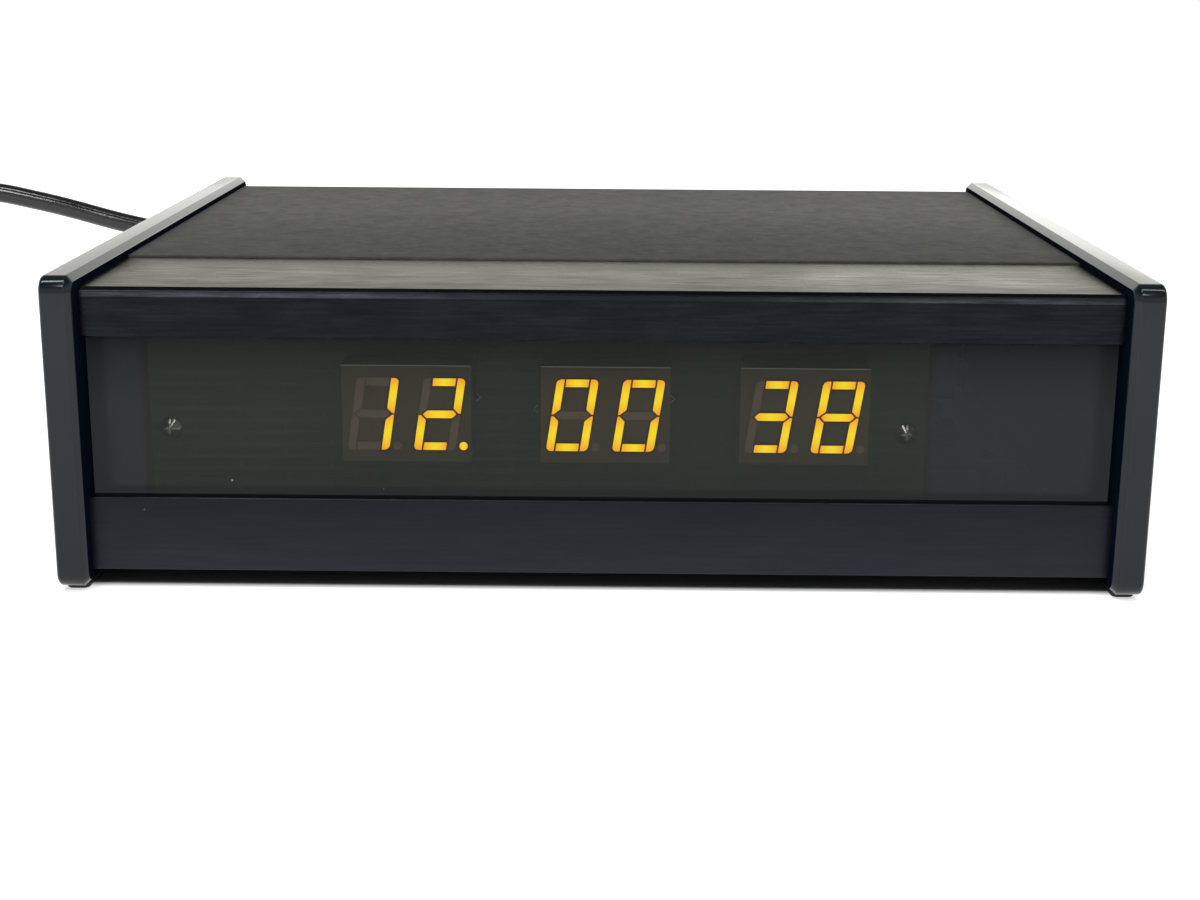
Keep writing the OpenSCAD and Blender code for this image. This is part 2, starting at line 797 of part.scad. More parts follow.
// Segments of all six digits whose state matches lit
module segments(lit) {
    for (i = [0 : 5], name = all_names)
        if ((len(search(name, lit_names[i])) > 0) == lit)
            translate([display_x + (floor(i / 2) - 1) * module_pitch + (i % 2 - 0.5) * digit_pitch,
                y_module, display_z])
                rotate([90, 0, 0]) linear_extrude(segment_t) segment(name);
}

module lit_segments() {
    color("#ffc800") segments(true);
}

module unlit_segments() {
    color("#5a5348") segments(false);
}

module display_brackets() {
    color("#9a9da1")
    for (x = display_screw_x)
        difference() {
            union() {
                block([x - bracket_w / 2, y_bracket, z_web],
                    [bracket_w, bracket_t, display_screw_z + bracket_rise - z_web]);
                block([x - bracket_w / 2, y_bracket, z_web], [bracket_w, bracket_l, bracket_t]);
            }
            rod_y([x, y_bracket - past, display_screw_z], bracket_t + 2 * past, screw_r + thread_fit);
            translate([x, bracket_screw_y, z_web - past])
                cylinder(h = bracket_t + 2 * past, r = screw_r + fit);
        }
}

module display_screws() {
    color("#b9bcbf")
    for (x = display_screw_x)
        translate([x, y_display, display_screw_z]) rotate([90, 0, 0])
            pan_screw(display_screw_l, screw_r, display_head_r, head_h);
}

module bracket_screws() {
    color("#b9bcbf")
    for (x = display_screw_x)
        translate([x, bracket_screw_y, z_web + bracket_t])
            pan_screw(bracket_screw_l, screw_r, head_r, head_h);
}

// Electronics

module at_spacers() {
    for (x = [-spacer_x, spacer_x], y = [-spacer_y, spacer_y])
        translate([main_x + x, main_y + y, 0]) children();
}

module main_board() {
    color("#2f4a33") difference() {
        standing([main_x, main_y, z_main], [main_w, main_d, board_t]);
        at_spacers() translate([0, 0, z_main - past])
            cylinder(h = board_t + 2 * past, r = screw_r + fit);
    }
}

module board_spacers() {
    color("#a8abad") at_spacers() translate([0, 0, z_floor]) difference() {
        cylinder(h = spacer_h, r = spacer_r);
        translate([0, 0, spacer_h + board_t - board_screw_l - thread_fit])
            cylinder(h = board_screw_l + past, r = screw_r + thread_fit);
    }
}

module board_screws() {
    color("#b9bcbf") at_spacers() translate([0, 0, z_parts])
        pan_screw(board_screw_l, screw_r, head_r, head_h);
}

module transformer_core() {
    color("#5b5d60") difference() {
        standing([core_x, core_y, z_floor], [core_w, core_d, core_h]);
        for (side = [-1, 1])
            standing([core_x + side * (core_leg + window_w) / 2, core_y, z_floor + core_yoke],
                [window_w, core_d + 2 * past, window_h]);
    }
}

module transformer_coil() {
    inner = [core_leg + 2 * winding_fit, core_d + 2 * winding_fit];
    color("#b98a2e") difference() {
        standing([core_x, core_y, z_floor + core_yoke + winding_fit],
            [core_leg + 2 * coil_build, core_d + 2 * coil_build, window_h - 2 * winding_fit]);
        standing([core_x, core_y, z_floor], [inner[0], inner[1], core_h]);
    }
}

module transformer_strap() {
    outer_w = core_w + 2 * strap_t;
    color("#9a9da1") difference() {
        union() {
            standing([core_x, core_y, z_floor], [outer_w, core_d, core_h + strap_t]);
            standing([core_x, core_y, z_floor], [outer_w + 2 * strap_foot, core_d, strap_t]);
        }
        standing([core_x, core_y, z_floor - past], [core_w, core_d + 2 * past, core_h + past]);
        for (side = [-1, 1])
            translate([core_x + side * strap_screw_x, core_y, z_floor - past])
                cylinder(h = strap_t + 2 * past, r = screw_r + fit);
    }
}

module transformer_screws() {
    color("#b9bcbf")
    for (side = [-1, 1])
        translate([core_x + side * strap_screw_x, core_y, z_floor + strap_t])
            pan_screw(strap_screw_l, screw_r, head_r, head_h);
}

module filter_capacitors() {
    color("#20304f")
    for (back = cap_back)
        translate([power_x, main_rear - back, z_parts]) difference() {
            cylinder(h = cap_h, r = cap_r);
            translate([0, 0, cap_h - cap_dish]) cylinder(h = past, r = cap_r - cap_rim);
        }
}

module bridge_rectifier() {
    color("#1c1c1e") standing([power_x, main_rear - bridge_back, z_parts], bridge);
}

module heat_sink() {
    gap = (sink_size[0] - sink_fin) / (sink_fins - 1);
    color("#3a3c3f") {
        block([sink_at[0] - sink_size[0] / 2, sink_at[1] - sink_size[1] / 2, z_parts],
            [sink_size[0], sink_web, sink_h]);
        for (i = [0 : sink_fins - 1])
            block([sink_at[0] - sink_size[0] / 2 + i * gap, sink_at[1] - sink_size[1] / 2, z_parts],
                [sink_fin, sink_size[1], sink_h]);
    }
}

module regulator() {
    color("#1c1c1e")
    block([sink_at[0] - regulator_size[0] / 2, sink_at[1] - sink_size[1] / 2 - regulator_size[1], z_parts],
        regulator_size);
}

module logic_chips() {
    color("#1c1c1e")
    for (column = [0 : chip_columns - 1], row = [0 : 1])
        standing([main_left + chip_first[0] + column * chip_pitch[0],
            main_front + chip_first[1] + row * chip_pitch[1], z_parts], chip);
}

module crystal() {
    at = [main_right - crystal_inset[0], main_rear - crystal_inset[1], z_parts];
    color("#b9bcbf") standing(at, crystal_size);
}

module ribbon_headers() {
    color("#1c1c1e") {
        standing([header_at[0], header_at[1], z_parts], header);
        block([header_at[0] - header[0] / 2, y_bracket, display_header_z - header[2] / 2],
            [header[0], header[1], header[2]]);
    }
}

module ribbon_cable() {
    x = header_at[0];
    start = y_bracket + header[1];
    end = header_at[1];
    low = z_parts + header[2];
    rise = low + ribbon_rise;
    mid = start + ribbon_lead;
    path = [[start, display_header_z], [(start + mid) / 2, display_header_z],
        [mid, display_header_z + 0.6 * ribbon_bend], [mid + ribbon_bend, rise], [end - ribbon_bend, rise],
        [end - 0.3 * ribbon_bend, rise - 0.3 * ribbon_bend], [end, low + ribbon_rise / 3], [end, low]];
    color("#8b8e92") push_x(x - ribbon_w / 2, x + ribbon_w / 2) strip(path, ribbon_t);
}

// Wires inside the case, each from one terminal to another

module wire(points) {
    tube(points, wire_d / 2, 6);
}

module mains_leads() {
    in_y = y_panel_in - relief_barrel_in;
    side = fuse_x - holder_r - wire_d / 2;
    tail = y_panel_in - holder_l;
    coil_face = core_y + core_d / 2 + coil_build;
    coil_top = z_floor + core_yoke + window_h - winding_fit;
    wind_y = core_y + core_d / 2 + coil_build / 2;
    color("#202020") {
        wire([[exit_x, in_y, exit_z + 2], [exit_x, in_y - 6, exit_z + 2], [exit_x + 8, in_y - 10, exit_z + 6],
            [exit_x + 22, in_y - 12, exit_z + 8], [side - 8, in_y - 15, fuse_z + 1],
            [side - 2, in_y - 18, fuse_z], [side, in_y - 22, fuse_z]]);
        wire([[exit_x, in_y, exit_z - 2], [exit_x, in_y - 6, exit_z - 2],
            [exit_x + 3, coil_face + 12, exit_z - 1], [core_x - 11, coil_face + 9, exit_z],
            [core_x - 8, coil_face + 4, exit_z], [core_x - 8, coil_face, exit_z]]);
        wire([[fuse_x, tail, fuse_z], [fuse_x, tail - 4, fuse_z], [fuse_x - 1, tail - 6, fuse_z + 5],
            [fuse_x - 1.5, tail - 5, fuse_z + 11], [fuse_x - 5, tail - 1, fuse_z + 14.5],
            [core_x + 16, wind_y, fuse_z + 13.5], [core_x + 11, wind_y, coil_top + 6],
            [core_x + 11, wind_y, coil_top]]);
    }
}

module supply_leads() {
    face = core_y - core_d / 2 - coil_build;
    end_x = main_left + 1.6;
    color("#a3352c")
    for (i = [0, 1])
        wire([[core_x + 6 - 9 * i, face, 26 + 3 * i], [core_x + 6 - 9 * i, face - 4, 26 + 3 * i],
            [core_x + 16, face - 8 - 5 * i, 25 + 2 * i], [end_x - 3, face - 8 - 5 * i, z_parts + 8],
            [end_x, face - 8 - 5 * i, z_parts + 5], [end_x, face - 8 - 5 * i, z_parts]]);
}

module signal_lead() {
    pin_y = y_panel_in - jack_stub_l - contact_tail;
    end_x = jack_x + 6;
    end_y = main_rear - 7;
    color("#d8d8d2")
    wire([[jack_x, pin_y, jack_z], [jack_x, pin_y - 2.5, jack_z], [jack_x + 2, pin_y - 5, jack_z - 6],
        [end_x, end_y, z_parts + 6], [end_x, end_y, z_parts]]);
}

// Rear fittings

module input_jack() {
    color("#b9b7ae") difference() {
        union() {
            rod_y([jack_x, y_panel, jack_z], jack_out, jack_r);
            hex_y([jack_x, y_panel, jack_z], jack_hex_t, jack_hex_r);
            rod_y([jack_x, y_panel_in - jack_stub_l, jack_z], jack_stub_l + panel_t + past, jack_stub_r);
            for (side = [-1, 1])
                rod_x([jack_x + side * (jack_r - lug_root), y_panel + jack_out - lug_back, jack_z],
                    lug_l, lug_r, side);
        }
        rod_y([jack_x, y_panel + jack_hex_t, jack_z], jack_out, jack_bore_r);
        rod_y([jack_x, y_panel_in - jack_stub_l - past, jack_z], jack_stub_l + panel_t + jack_out,
            insulator_r);
    }
}

module jack_insulator() {
    low = y_panel_in - jack_stub_l;
    color("#e4e2da") difference() {
        rod_y([jack_x, low, jack_z], y_panel + jack_out - insulator_back - low, insulator_r);
        rod_y([jack_x, low - past, jack_z], jack_out + panel_t + jack_stub_l + 2 * past, contact_r);
    }
}

module jack_contact() {
    low = y_panel_in - jack_stub_l - contact_tail;
    color("#c9a24b") rod_y([jack_x, low, jack_z], y_panel + jack_out - contact_back - low, contact_r);
}

module jack_nut() {
    color("#b9b7ae") difference() {
        hex_y([jack_x, y_panel_in - jack_nut_t, jack_z], jack_nut_t, jack_hex_r);
        rod_y([jack_x, y_panel_in - jack_nut_t - past, jack_z], jack_nut_t + 2 * past,
            jack_stub_r + thread_fit);
    }
}

module fuse_holder() {
    low = y_panel_in - holder_l;
    color("#1c1c1e") difference() {
        union() {
            rod_y([fuse_x, low, fuse_z], holder_l + panel_t + past, holder_r);
            rod_y([fuse_x, y_panel, fuse_z], holder_flange_t, holder_flange_r);
        }
        rod_y([fuse_x, low + holder_end, fuse_z], holder_l + panel_t + holder_flange_t, holder_bore_r);
    }
}

module fuse_holder_nut() {
    color("#1c1c1e") difference() {
        hex_y([fuse_x, y_panel_in - holder_nut_t, fuse_z], holder_nut_t, holder_r + hex_over);
        rod_y([fuse_x, y_panel_in - holder_nut_t - past, fuse_z], holder_nut_t + 2 * past,
            holder_r + thread_fit);
    }
}

module fuse_cap() {
    base = y_panel + holder_flange_t + turn_gap;
    grip = y_panel + fuse_cap_out - base;
    color("#1c1c1e") difference() {
        union() {
            rod_y([fuse_x, base - cap_stem_l, fuse_z], cap_stem_l + past, holder_bore_r - running_fit);
            rod_y([fuse_x, base, fuse_z], grip - grip_chamfer, fuse_grip_r);
            cone_y([fuse_x, base + grip - grip_chamfer, fuse_z], grip_chamfer, fuse_grip_r,
                fuse_grip_r - grip_chamfer);
        }
        for (i = [0 : grip_ribs - 1])
            translate([fuse_x, base + grip_collar, fuse_z]) rotate([0, i * 360 / grip_ribs, 0])
                rod_y([fuse_grip_r, 0, 0], grip, grip_rib_r);
        block([fuse_x - fuse_grip_r - past, base + grip - coin_slot, fuse_z - coin_slot / 2],
            [2 * (fuse_grip_r + past), coin_slot + past, coin_slot]);
        rod_y([fuse_x, base - cap_stem_l - past, fuse_z], fuse_socket + past, fuse_r + running_fit);
    }
}

module fuse() {
    start = fuse_start - fuse_l;
    color("#d6d4c8") {
        for (y = [start, fuse_start - ferrule_l])
            rod_y([fuse_x, y, fuse_z], ferrule_l, fuse_r);
        rod_y([fuse_x, start + ferrule_l - past, fuse_z], fuse_l - 2 * ferrule_l + 2 * past,
            fuse_r - ferrule_wall);
    }
}

module strain_relief() {
    color("#161617") {
        rod_y([exit_x, y_panel_in - relief_barrel_in, exit_z], relief_barrel_in + panel_t + past,
            relief_barrel_r);
        rod_y([exit_x, y_panel, exit_z], relief_flange_t, relief_flange_r);
        cone_y([exit_x, y_panel + relief_flange_t, exit_z], relief_l - relief_flange_t,
            relief_flange_r - relief_step, relief_tip_r);
    }
}

// Mains lead

module cord() {
    color("#18191b") tube(cord_route, cord_d / 2, cord_sides);
}

// Share of the way from the outermost turn to the innermost one, after t turns
function coil_share(t) =
    let (k = floor(t / layer_turns), f = t / layer_turns - k)
    k % 2 == 0 ? f : 1 - f;

function eased(s) = let (c = min(max(s, 0), 1)) c * c * (3 - 2 * c);

// Layer that the lead is in after t turns, counted from the top
function coil_layer(t) =
    eased((t - layer_turns) / climb_turns + 0.5) + eased((t - 2 * layer_turns) / climb_turns + 0.5)
    + eased((t - 3 * layer_turns) / climb_turns + 0.5);

function coil_point(t) =
    let (r = coil_r - coil_step * layer_turns * coil_share(t), a = 90 + 360 * t)
    [coil_x + r * cos(a), coil_y + r * sin(a), coil_z_high - coil_step * coil_layer(t)];

coil_turn_points = [for (i = [0 : coil_steps]) coil_point(i / rings_per_turn)];
coil_points = concat([coil_start], coil_turn_points, [[tail_x, tail_y, coil_z_low]]);

// Least air between points of the coil that lie more than half a turn apart
coil_air = min([for (i = [0 : coil_steps], j = [i + rings_per_turn / 2 : 1 : coil_steps])
    norm(coil_turn_points[i] - coil_turn_points[j])]) - cord_d;

module cord_coil() {
    echo(coil_least_gap = coil_air);
    color("#18191b") tube(coil_points, cord_d / 2, coil_sides);
}

module cord_tail() {
    points = [for (i = [0 : tail_steps])
        let (s = i / tail_steps)
        [tail_x, tail_y - cord_d - s * (tail_run - 2 * cord_d),
            coil_z_low + (plug_z - coil_z_low) * eased(s)]];
    color("#18191b")
    tube(concat([[tail_x, tail_y, coil_z_low]], points, [[tail_x, plug_y, plug_z]]), cord_d / 2, cord_sides);
}

module cord_tie() {
    reach = cord_d / 2 + tie_gap;
    low = [coil_r - coil_step * layer_turns - reach, coil_z_low - reach];
    size = [coil_step * layer_turns + 2 * reach, coil_z_high - coil_z_low + 2 * reach];
    color("#101010")
    translate([coil_x, coil_y, 0]) rotate([0, 0, tie_angle]) rotate([90, 0, 0])
        translate([0, 0, -tie_w / 2]) linear_extrude(tie_w) difference() {
            translate([low[0] - tie_t, low[1] - tie_t]) square([size[0] + 2 * tie_t, size[1] + 2 * tie_t]);
            translate(low) square(size);
        }
}

module plug_body() {
    front = -plug_tail_l - plug_body_l;
    half = plug_w / 2;
    neck = relief_tip_r + plug_neck;
    shoulder = -plug_tail_l - plug_slope_l;
    color("#18191b") translate([tail_x, plug_y, 0]) {
        translate([0, 0, plug_z]) rotate([90, 0, 0])
            cylinder(h = plug_tail_l + past, r1 = relief_tip_r, r2 = relief_tip_r + plug_flare);
        intersection() {
            linear_extrude(plug_h)
                polygon([[-neck, -plug_tail_l], [-half, shoulder], [-half, front], [half, front],
                    [half, shoulder], [neck, -plug_tail_l]]);
            push_x(-half, half)
                polygon([[-plug_tail_l, plug_z - neck], [-plug_tail_l, plug_z + neck], [shoulder, plug_h],
                    [front, plug_h], [front, 0], [shoulder, 0]]);
        }
    }
}

module plug_pins() {
    front = plug_y - plug_tail_l - plug_body_l;
    color("#c8b98a") {
        for (side = [-1, 1])
            block([tail_x + side * blade_x - blade[0] / 2, front - blade[1], blade_z - blade[2] / 2], blade);
        rod_y([tail_x, front - earth_l, blade_z - earth_drop], earth_l, earth_r);
    }
}

side_plate_left();
side_plate_right();
front_trim();
lower_front_panel();
top_cover();
bottom_cover();
rear_panel();
rear_rail_top();
rear_rail_bottom();
side_screws_left();
side_screws_right();
rear_panel_screws();
feet();
window();
display_board();
module_hours();
module_minutes();
module_seconds();
lit_segments();
unlit_segments();
display_brackets();
display_screws();
bracket_screws();
main_board();
board_spacers();
board_screws();
transformer_core();
transformer_coil();
transformer_strap();
transformer_screws();
filter_capacitors();
bridge_rectifier();
regulator();
heat_sink();
logic_chips();
crystal();
ribbon_cable();
ribbon_headers();
mains_leads();
supply_leads();
signal_lead();
input_jack();
jack_insulator();
jack_contact();
jack_nut();
fuse_holder();
fuse_holder_nut();
fuse_cap();
fuse();
strain_relief();
cord();
cord_coil();
cord_tail();
cord_tie();
plug_body();
plug_pins();
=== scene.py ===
import math
import bmesh
import bpy
from mathutils import Matrix, Vector


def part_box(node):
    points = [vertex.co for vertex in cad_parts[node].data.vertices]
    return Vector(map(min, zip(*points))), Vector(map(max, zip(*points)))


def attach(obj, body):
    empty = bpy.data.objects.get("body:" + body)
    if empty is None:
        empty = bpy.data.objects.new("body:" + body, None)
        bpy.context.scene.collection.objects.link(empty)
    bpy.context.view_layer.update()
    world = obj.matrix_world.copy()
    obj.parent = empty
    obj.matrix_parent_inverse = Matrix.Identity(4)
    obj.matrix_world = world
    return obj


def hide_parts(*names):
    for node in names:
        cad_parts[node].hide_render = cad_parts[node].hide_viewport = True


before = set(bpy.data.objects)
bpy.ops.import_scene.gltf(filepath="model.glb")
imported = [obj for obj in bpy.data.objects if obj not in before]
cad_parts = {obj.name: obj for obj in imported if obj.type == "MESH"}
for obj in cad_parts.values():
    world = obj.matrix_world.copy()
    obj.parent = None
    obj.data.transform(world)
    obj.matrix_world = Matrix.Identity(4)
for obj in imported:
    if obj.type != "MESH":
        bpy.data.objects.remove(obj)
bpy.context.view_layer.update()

# Shapes are worked out in millimetres and made in metres
MM = 0.001
CASE = "case"

# Camera of the photograph
PHOTO_SIZE = (1200, 900)
FOCAL_PIXELS = 1879.32
SENSOR_W = 36.0
CAMERA_AT = (1.519, -426.72, 115.996)
CAMERA_YAW = -0.0048996
CAMERA_PITCH = 0.251333
CAMERA_ROLL = 0.0073534

# Side plates
PLATE_R = 3.1
PLATE_BEVEL = 1.15
PLATE_EDGE = 0.8
EDGE_STEPS = 6
BEVEL_SOFT = 0.06
SCREW_R = 1.5
HEAD_R = 2.9
FIT = 0.15
CORNER_STEPS = 8

# How far a cutter reaches past a face, and the share of a normal that counts as facing one way
PAST = 1.0
FACING = 0.9

# Front pieces, from their front edge and from the case's top or bottom face
BAND_D = 37.7
TONGUE_L = 6.0
WEB_T = 3.2
SKIN_T = 1.6
TRIM_LIP = 9.3
TRIM_BEVEL = 1.7
SILL_LIP = 14.5
LENS_BITE = 4.0
LIP_WALL = 3.05
SLOT_BACK = 6.35
RIB_BACK = 8.35
RIB_STEP = 1.0
BOSS_R = 3.2
BOSS_AT = (10.75, -5.6)
EDGE_ROUND = 0.3
BEVEL_ROUND = 0.45
BEVEL_CROWN = 0.37
SEAM_ROUND = 0.2
COVER_RISE = 0.4
SHEET_EDGE = 0.2
FIELD_EDGE = 0.1
BOSS_EDGE = 0.3

# Window: painted shade under the trim's lip, and a painted glow of pale haze past the circuit board's ends
# and along the foot
PANE_EDGE = 0.25
SHADE_H = 14.0
SHADE_POWER = 0.45
NEAR_SCALE = 0.979
HAZE_EDGE = (-0.0003, 0.0006)
FOOT_HAZE_H = 2.6
PAINTED_FOOT_HAZE = 0.8

# Feet
FOOT_SIZE = (4.4, 12.0)
FOOT_R = 1.2
FOOT_EDGE = 0.25

# Digits
MODULE_EDGE = 0.25
DIGIT_PITCH = 12.7
DIGIT_W = 8.1
DIGIT_H = 14.2
STROKE_W = 1.6
SEGMENT_GAP = 0.22
SEGMENT_T = 0.2
CORNER_R = 0.95
POINT_D = 1.75
POINT_SIDES = 24
POINT_OFFSET = 1.55
LEAN = math.tan(math.radians(8.7))
RIM_W = 0.3
SURROUND_OUT = 0.18
SURROUND_IN = 0.05
SHOWN = ("12", "00", "38")
POINT_AFTER = 1
SEGMENT_NAMES = "abcdefgp"
LIT_NAMES = {"0": "abcdef", "1": "bc", "2": "abged", "3": "abcdg", "8": "abcdefg"}
DIGIT_MODULES = ("module_hours", "module_minutes", "module_seconds")

# Display board's screws: a rim, a slope in steps and a flat top with a cross recess
DISPLAY_HEAD_R = 2.25
THREAD_CUT = 0.3
HEAD_RIM = 0.3
HEAD_LIFT = 0.12
HEAD_INSET = 0.1
HEAD_SLOPE = 0.66
HEAD_STEPS = (0.0, 0.2, 1.1, 1.3)
HEAD_TOP = (0.5, 0.1)
RECESS = (1.1, 0.28)
RECESS_D = 0.8
RECESS_EDGE = 0.08

# Printed arrow heads: place across, height over the digits' middle, way they point
BOARD_MARKS = ((-24.0, 1.6, 1), (-12.9, -0.7, -1), (13.9, 1.5, 1))
MARK_W = 0.8
MARK_H = 1.5
MARK_LINE = 0.28
MARK_T = 0.05

# Mains lead: the route from the case, then the coil, then the tail to the plug
CORD_D = 5.6
COIL_Z_LOW = 3.7
COIL_Z_HIGH = 22.0
CORD_ROUTE = (
    (-80, 96.5, 28), (-80, 104, 28), (-81.5, 112.5, 28.5), (-85.5, 120, 29.5), (-91.5, 126, 30.5),
    (-99, 130, 32), (-108, 132, 33.5), (-117, 132.5, 35.5), (-126.5, 132.5, 37.5), (-136, 132.5, 39.5),
    (-145, 132, 41.5), (-154, 132, 44), (-163, 131.5, 46.5), (-172, 131, 48.5), (-180.5, 130.5, 50.5),
    (-189, 130, 50.5), (-197, 129, 48), (-204.5, 128, 43.5), (-212, 127, 38), (-219.5, 126.5, 32.5),
    (-227, 126, 27.5), (-235, 125.5, 24), (-243.5, 125, COIL_Z_HIGH), (-252, 125, COIL_Z_HIGH),
)
ROUTE_STEPS = 6
COIL_R = 36.0
COIL_STEP = 6.1
COIL_TURNS = 8.25
COIL_LAYERS = 4
LAYER_TURNS = COIL_TURNS / COIL_LAYERS
CLIMB_TURNS = 0.5
COIL_AT = (CORD_ROUTE[-1][0] - CORD_D, CORD_ROUTE[-1][1] - COIL_R)
POINTS_PER_TURN = 48
TAIL_AT = (COIL_AT[0] - COIL_R, COIL_AT[1] - CORD_D)
TAIL_RUN = 48.0
TAIL_STEPS = 18

# Strain relief, tie and plug
RELIEF_BARREL_R = 6.3
RELIEF_FLANGE_R = 7.5
RELIEF_FLANGE_T = 3.0
RELIEF_NECK_R = 5.5
RELIEF_TIP_R = 3.7
RELIEF_RIBS = 5
RELIEF_BARREL_CUT = 0.5
RELIEF_EDGE = 0.4
RELIEF_GROOVE = 0.8
RELIEF_START = 0.1
# One rib: share of the pitch, depth below its crown
RELIEF_RIB = ((0.3, RELIEF_GROOVE), (0.36, 0.1), (0.45, 0.0), (0.9, 0.1), (1.0, 0.35))
TIE_ANGLE = 300.0
TIE_W = 5.0
TIE_T = 0.6
TIE_GAP = 0.3
TIE_EDGE = 0.2
TIE_HEAD = (6.0, 7.2, 3.2)
TIE_HEAD_IN = 3.0
TIE_HEAD_EDGE = 0.6
PLUG_Z = 11.0
PLUG_TAIL_L = 18.0
PLUG_BODY_L = 38.0
PLUG_W = 26.0
PLUG_SLOPE_L = 12.0
PLUG_NECK = 7.7
PLUG_FLARE = 2.5
PLUG_RIBS = 5
PLUG_RIB_D = 0.9
PLUG_STEPS = 8
PLUG_SIDES = 40
PLUG_ROUND = 2.4
PLUG_FULL = 5.4
# Grip of the plug: share of the body's length, depth of the pinch
PLUG_GRIP = ((0.4, 0.6), (0.5, 1.0), (0.62, 1.0), (0.75, 0.5), (0.86, 0.0), (0.96, 0.0))
BLADE = (1.5, 16.0, 6.35)
BLADE_X = 6.35
BLADE_Z = 16.0
EARTH_R = 2.4
EARTH_L = 19.0
EARTH_Z = 4.1
EARTH_TIP_R = 0.3
BLADE_EDGE = 0.45
PIN_SINK = 1.0
SORT_WAY = Vector((1.0, 0.6183, 0.1379))

# Table: its radius in mm, and in metres how the painted shadow under the case ends
TABLE_R = 2500.0
PAINTED_SHADOW_SIDE = 0.0045
PAINTED_SHADOW_FADE = (-0.0076, -0.005)

# Finishes
DUST_COLOUR = (0.5, 0.5, 0.48)
DUST_SCALE = 160.0
PAINTED_SHADE_TO = 0.36
TRIM_TONES = ((0.0083, 0.01, 0.0122), (0.0127, 0.0144, 0.0168))
PANEL_TONES = ((0.0193, 0.0224, 0.0273), (0.0233, 0.0267, 0.032))
COVER_TONES = ((0.0485, 0.0485, 0.0475), (0.077, 0.077, 0.075))
# Painted glow of the window's haze, and the painted shade under the trim's lip
PAINTED_HAZE_TONES = ((0.0222, 0.0262, 0.0218), (0.0242, 0.0282, 0.0238))
PAINTED_END_HAZE = (0.0295, 0.0338, 0.0358)
PAINTED_LIP_SHADE = (0.001, 0.0015, 0.002)
GRAIN_ON_SCREW = 0.0000002

# Pieces that keep their CAD shape: finish, colour, roughness, metallic, nodes
KEPT_FINISHES = (
    ("rail_metal", (0.5, 0.5, 0.52), 0.38, 0.9, "rear_rail_top", "rear_rail_bottom"),
    ("plated_steel", (0.62, 0.61, 0.58), 0.25, 1.0, "bracket_screws", "board_spacers", "board_screws",
        "transformer_strap", "transformer_screws", "crystal"),
    ("bracket_black", (0.03, 0.03, 0.03), 0.6, 0.0, "display_brackets"),
    ("core_steel", (0.22, 0.22, 0.23), 0.45, 0.8, "transformer_core"),
    ("winding_tape", (0.45, 0.27, 0.05), 0.4, 0.0, "transformer_coil"),
    ("capacitor_sleeve", (0.03, 0.05, 0.13), 0.35, 0.0, "filter_capacitors"),
    ("moulded_black", (0.02, 0.02, 0.021), 0.5, 0.0, "bridge_rectifier", "regulator", "logic_chips",
        "ribbon_headers"),
    ("sink_black", (0.025, 0.025, 0.027), 0.5, 0.4, "heat_sink"),
    ("ribbon_grey", (0.3, 0.31, 0.33), 0.5, 0.0, "ribbon_cable"),
    ("wire_black", (0.02, 0.02, 0.02), 0.4, 0.0, "mains_leads"),
    ("wire_red", (0.4, 0.04, 0.03), 0.4, 0.0, "supply_leads"),
    ("wire_white", (0.7, 0.7, 0.66), 0.4, 0.0, "signal_lead"),
    ("jack_nickel", (0.66, 0.64, 0.6), 0.2, 1.0, "input_jack", "jack_nut"),
    ("insulator_white", (0.75, 0.74, 0.7), 0.4, 0.0, "jack_insulator"),
    ("contact_gold", (0.8, 0.58, 0.24), 0.22, 1.0, "jack_contact"),
    ("holder_black", (0.018, 0.018, 0.019), 0.38, 0.0, "fuse_holder", "fuse_holder_nut", "fuse_cap"),
    ("fuse_metal", (0.7, 0.69, 0.66), 0.22, 1.0, "fuse"),
)


def extent(node):
    """Lowest and highest corner of a CAD node, in millimetres."""
    low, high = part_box(node)
    return Vector(low) / MM, Vector(high) / MM


def eased(s):
    s = min(max(s, 0.0), 1.0)
    return s * s * (3 - 2 * s)


# Meshes


def ring(bm, points):
    return [bm.verts.new(p) for p in points]


def bridge(bm, a, b):
    """Wall of four-sided faces between two rings of as many points."""
    for i in range(len(a)):
        j = (i + 1) % len(a)
        bm.faces.new((a[i], a[j], b[j], b[i]))


def loft(bm, sections):
    """Closed skin over a row of rings, with flat ends."""
    rings = [ring(bm, points) for points in sections]
    for a, b in zip(rings, rings[1:]):
        bridge(bm, a, b)
    bm.faces.new(rings[0])
    bm.faces.new(rings[-1])
    return rings


def round_angles(count):
    return [2 * math.pi * i / count for i in range(count)]


def circle_y(x, y, z, r, sides):
    return [(x + r * math.cos(a), y, z + r * math.sin(a)) for a in round_angles(sides)]


def turned_y(bm, x, z, profile, sides=48):
    """Solid of revolution about a line along Y, from pairs of place and radius."""
    loft(bm, [circle_y(x, y, z, r, sides) for y, r in profile])


def turned_x(bm, y, z, profile, sides=32):
    steps = round_angles(sides)
    loft(bm, [[(x, y + r * math.cos(a), z + r * math.sin(a)) for a in steps] for x, r in profile])


def soft_block(bm, low, high, r, steps=2):
    """Block with rounded edges."""
    size = [high[i] - low[i] for i in range(3)]
    middle = [(high[i] + low[i]) / 2 for i in range(3)]
    made = bmesh.ops.create_cube(bm, size=1.0)["verts"]
    bmesh.ops.scale(bm, vec=size, verts=made)
    bmesh.ops.translate(bm, vec=middle, verts=made)
    edges = list(dict.fromkeys(e for v in made for e in v.link_edges))
    bmesh.ops.bevel(bm, geom=edges, offset=r, segments=steps, affect="EDGES", profile=0.5)


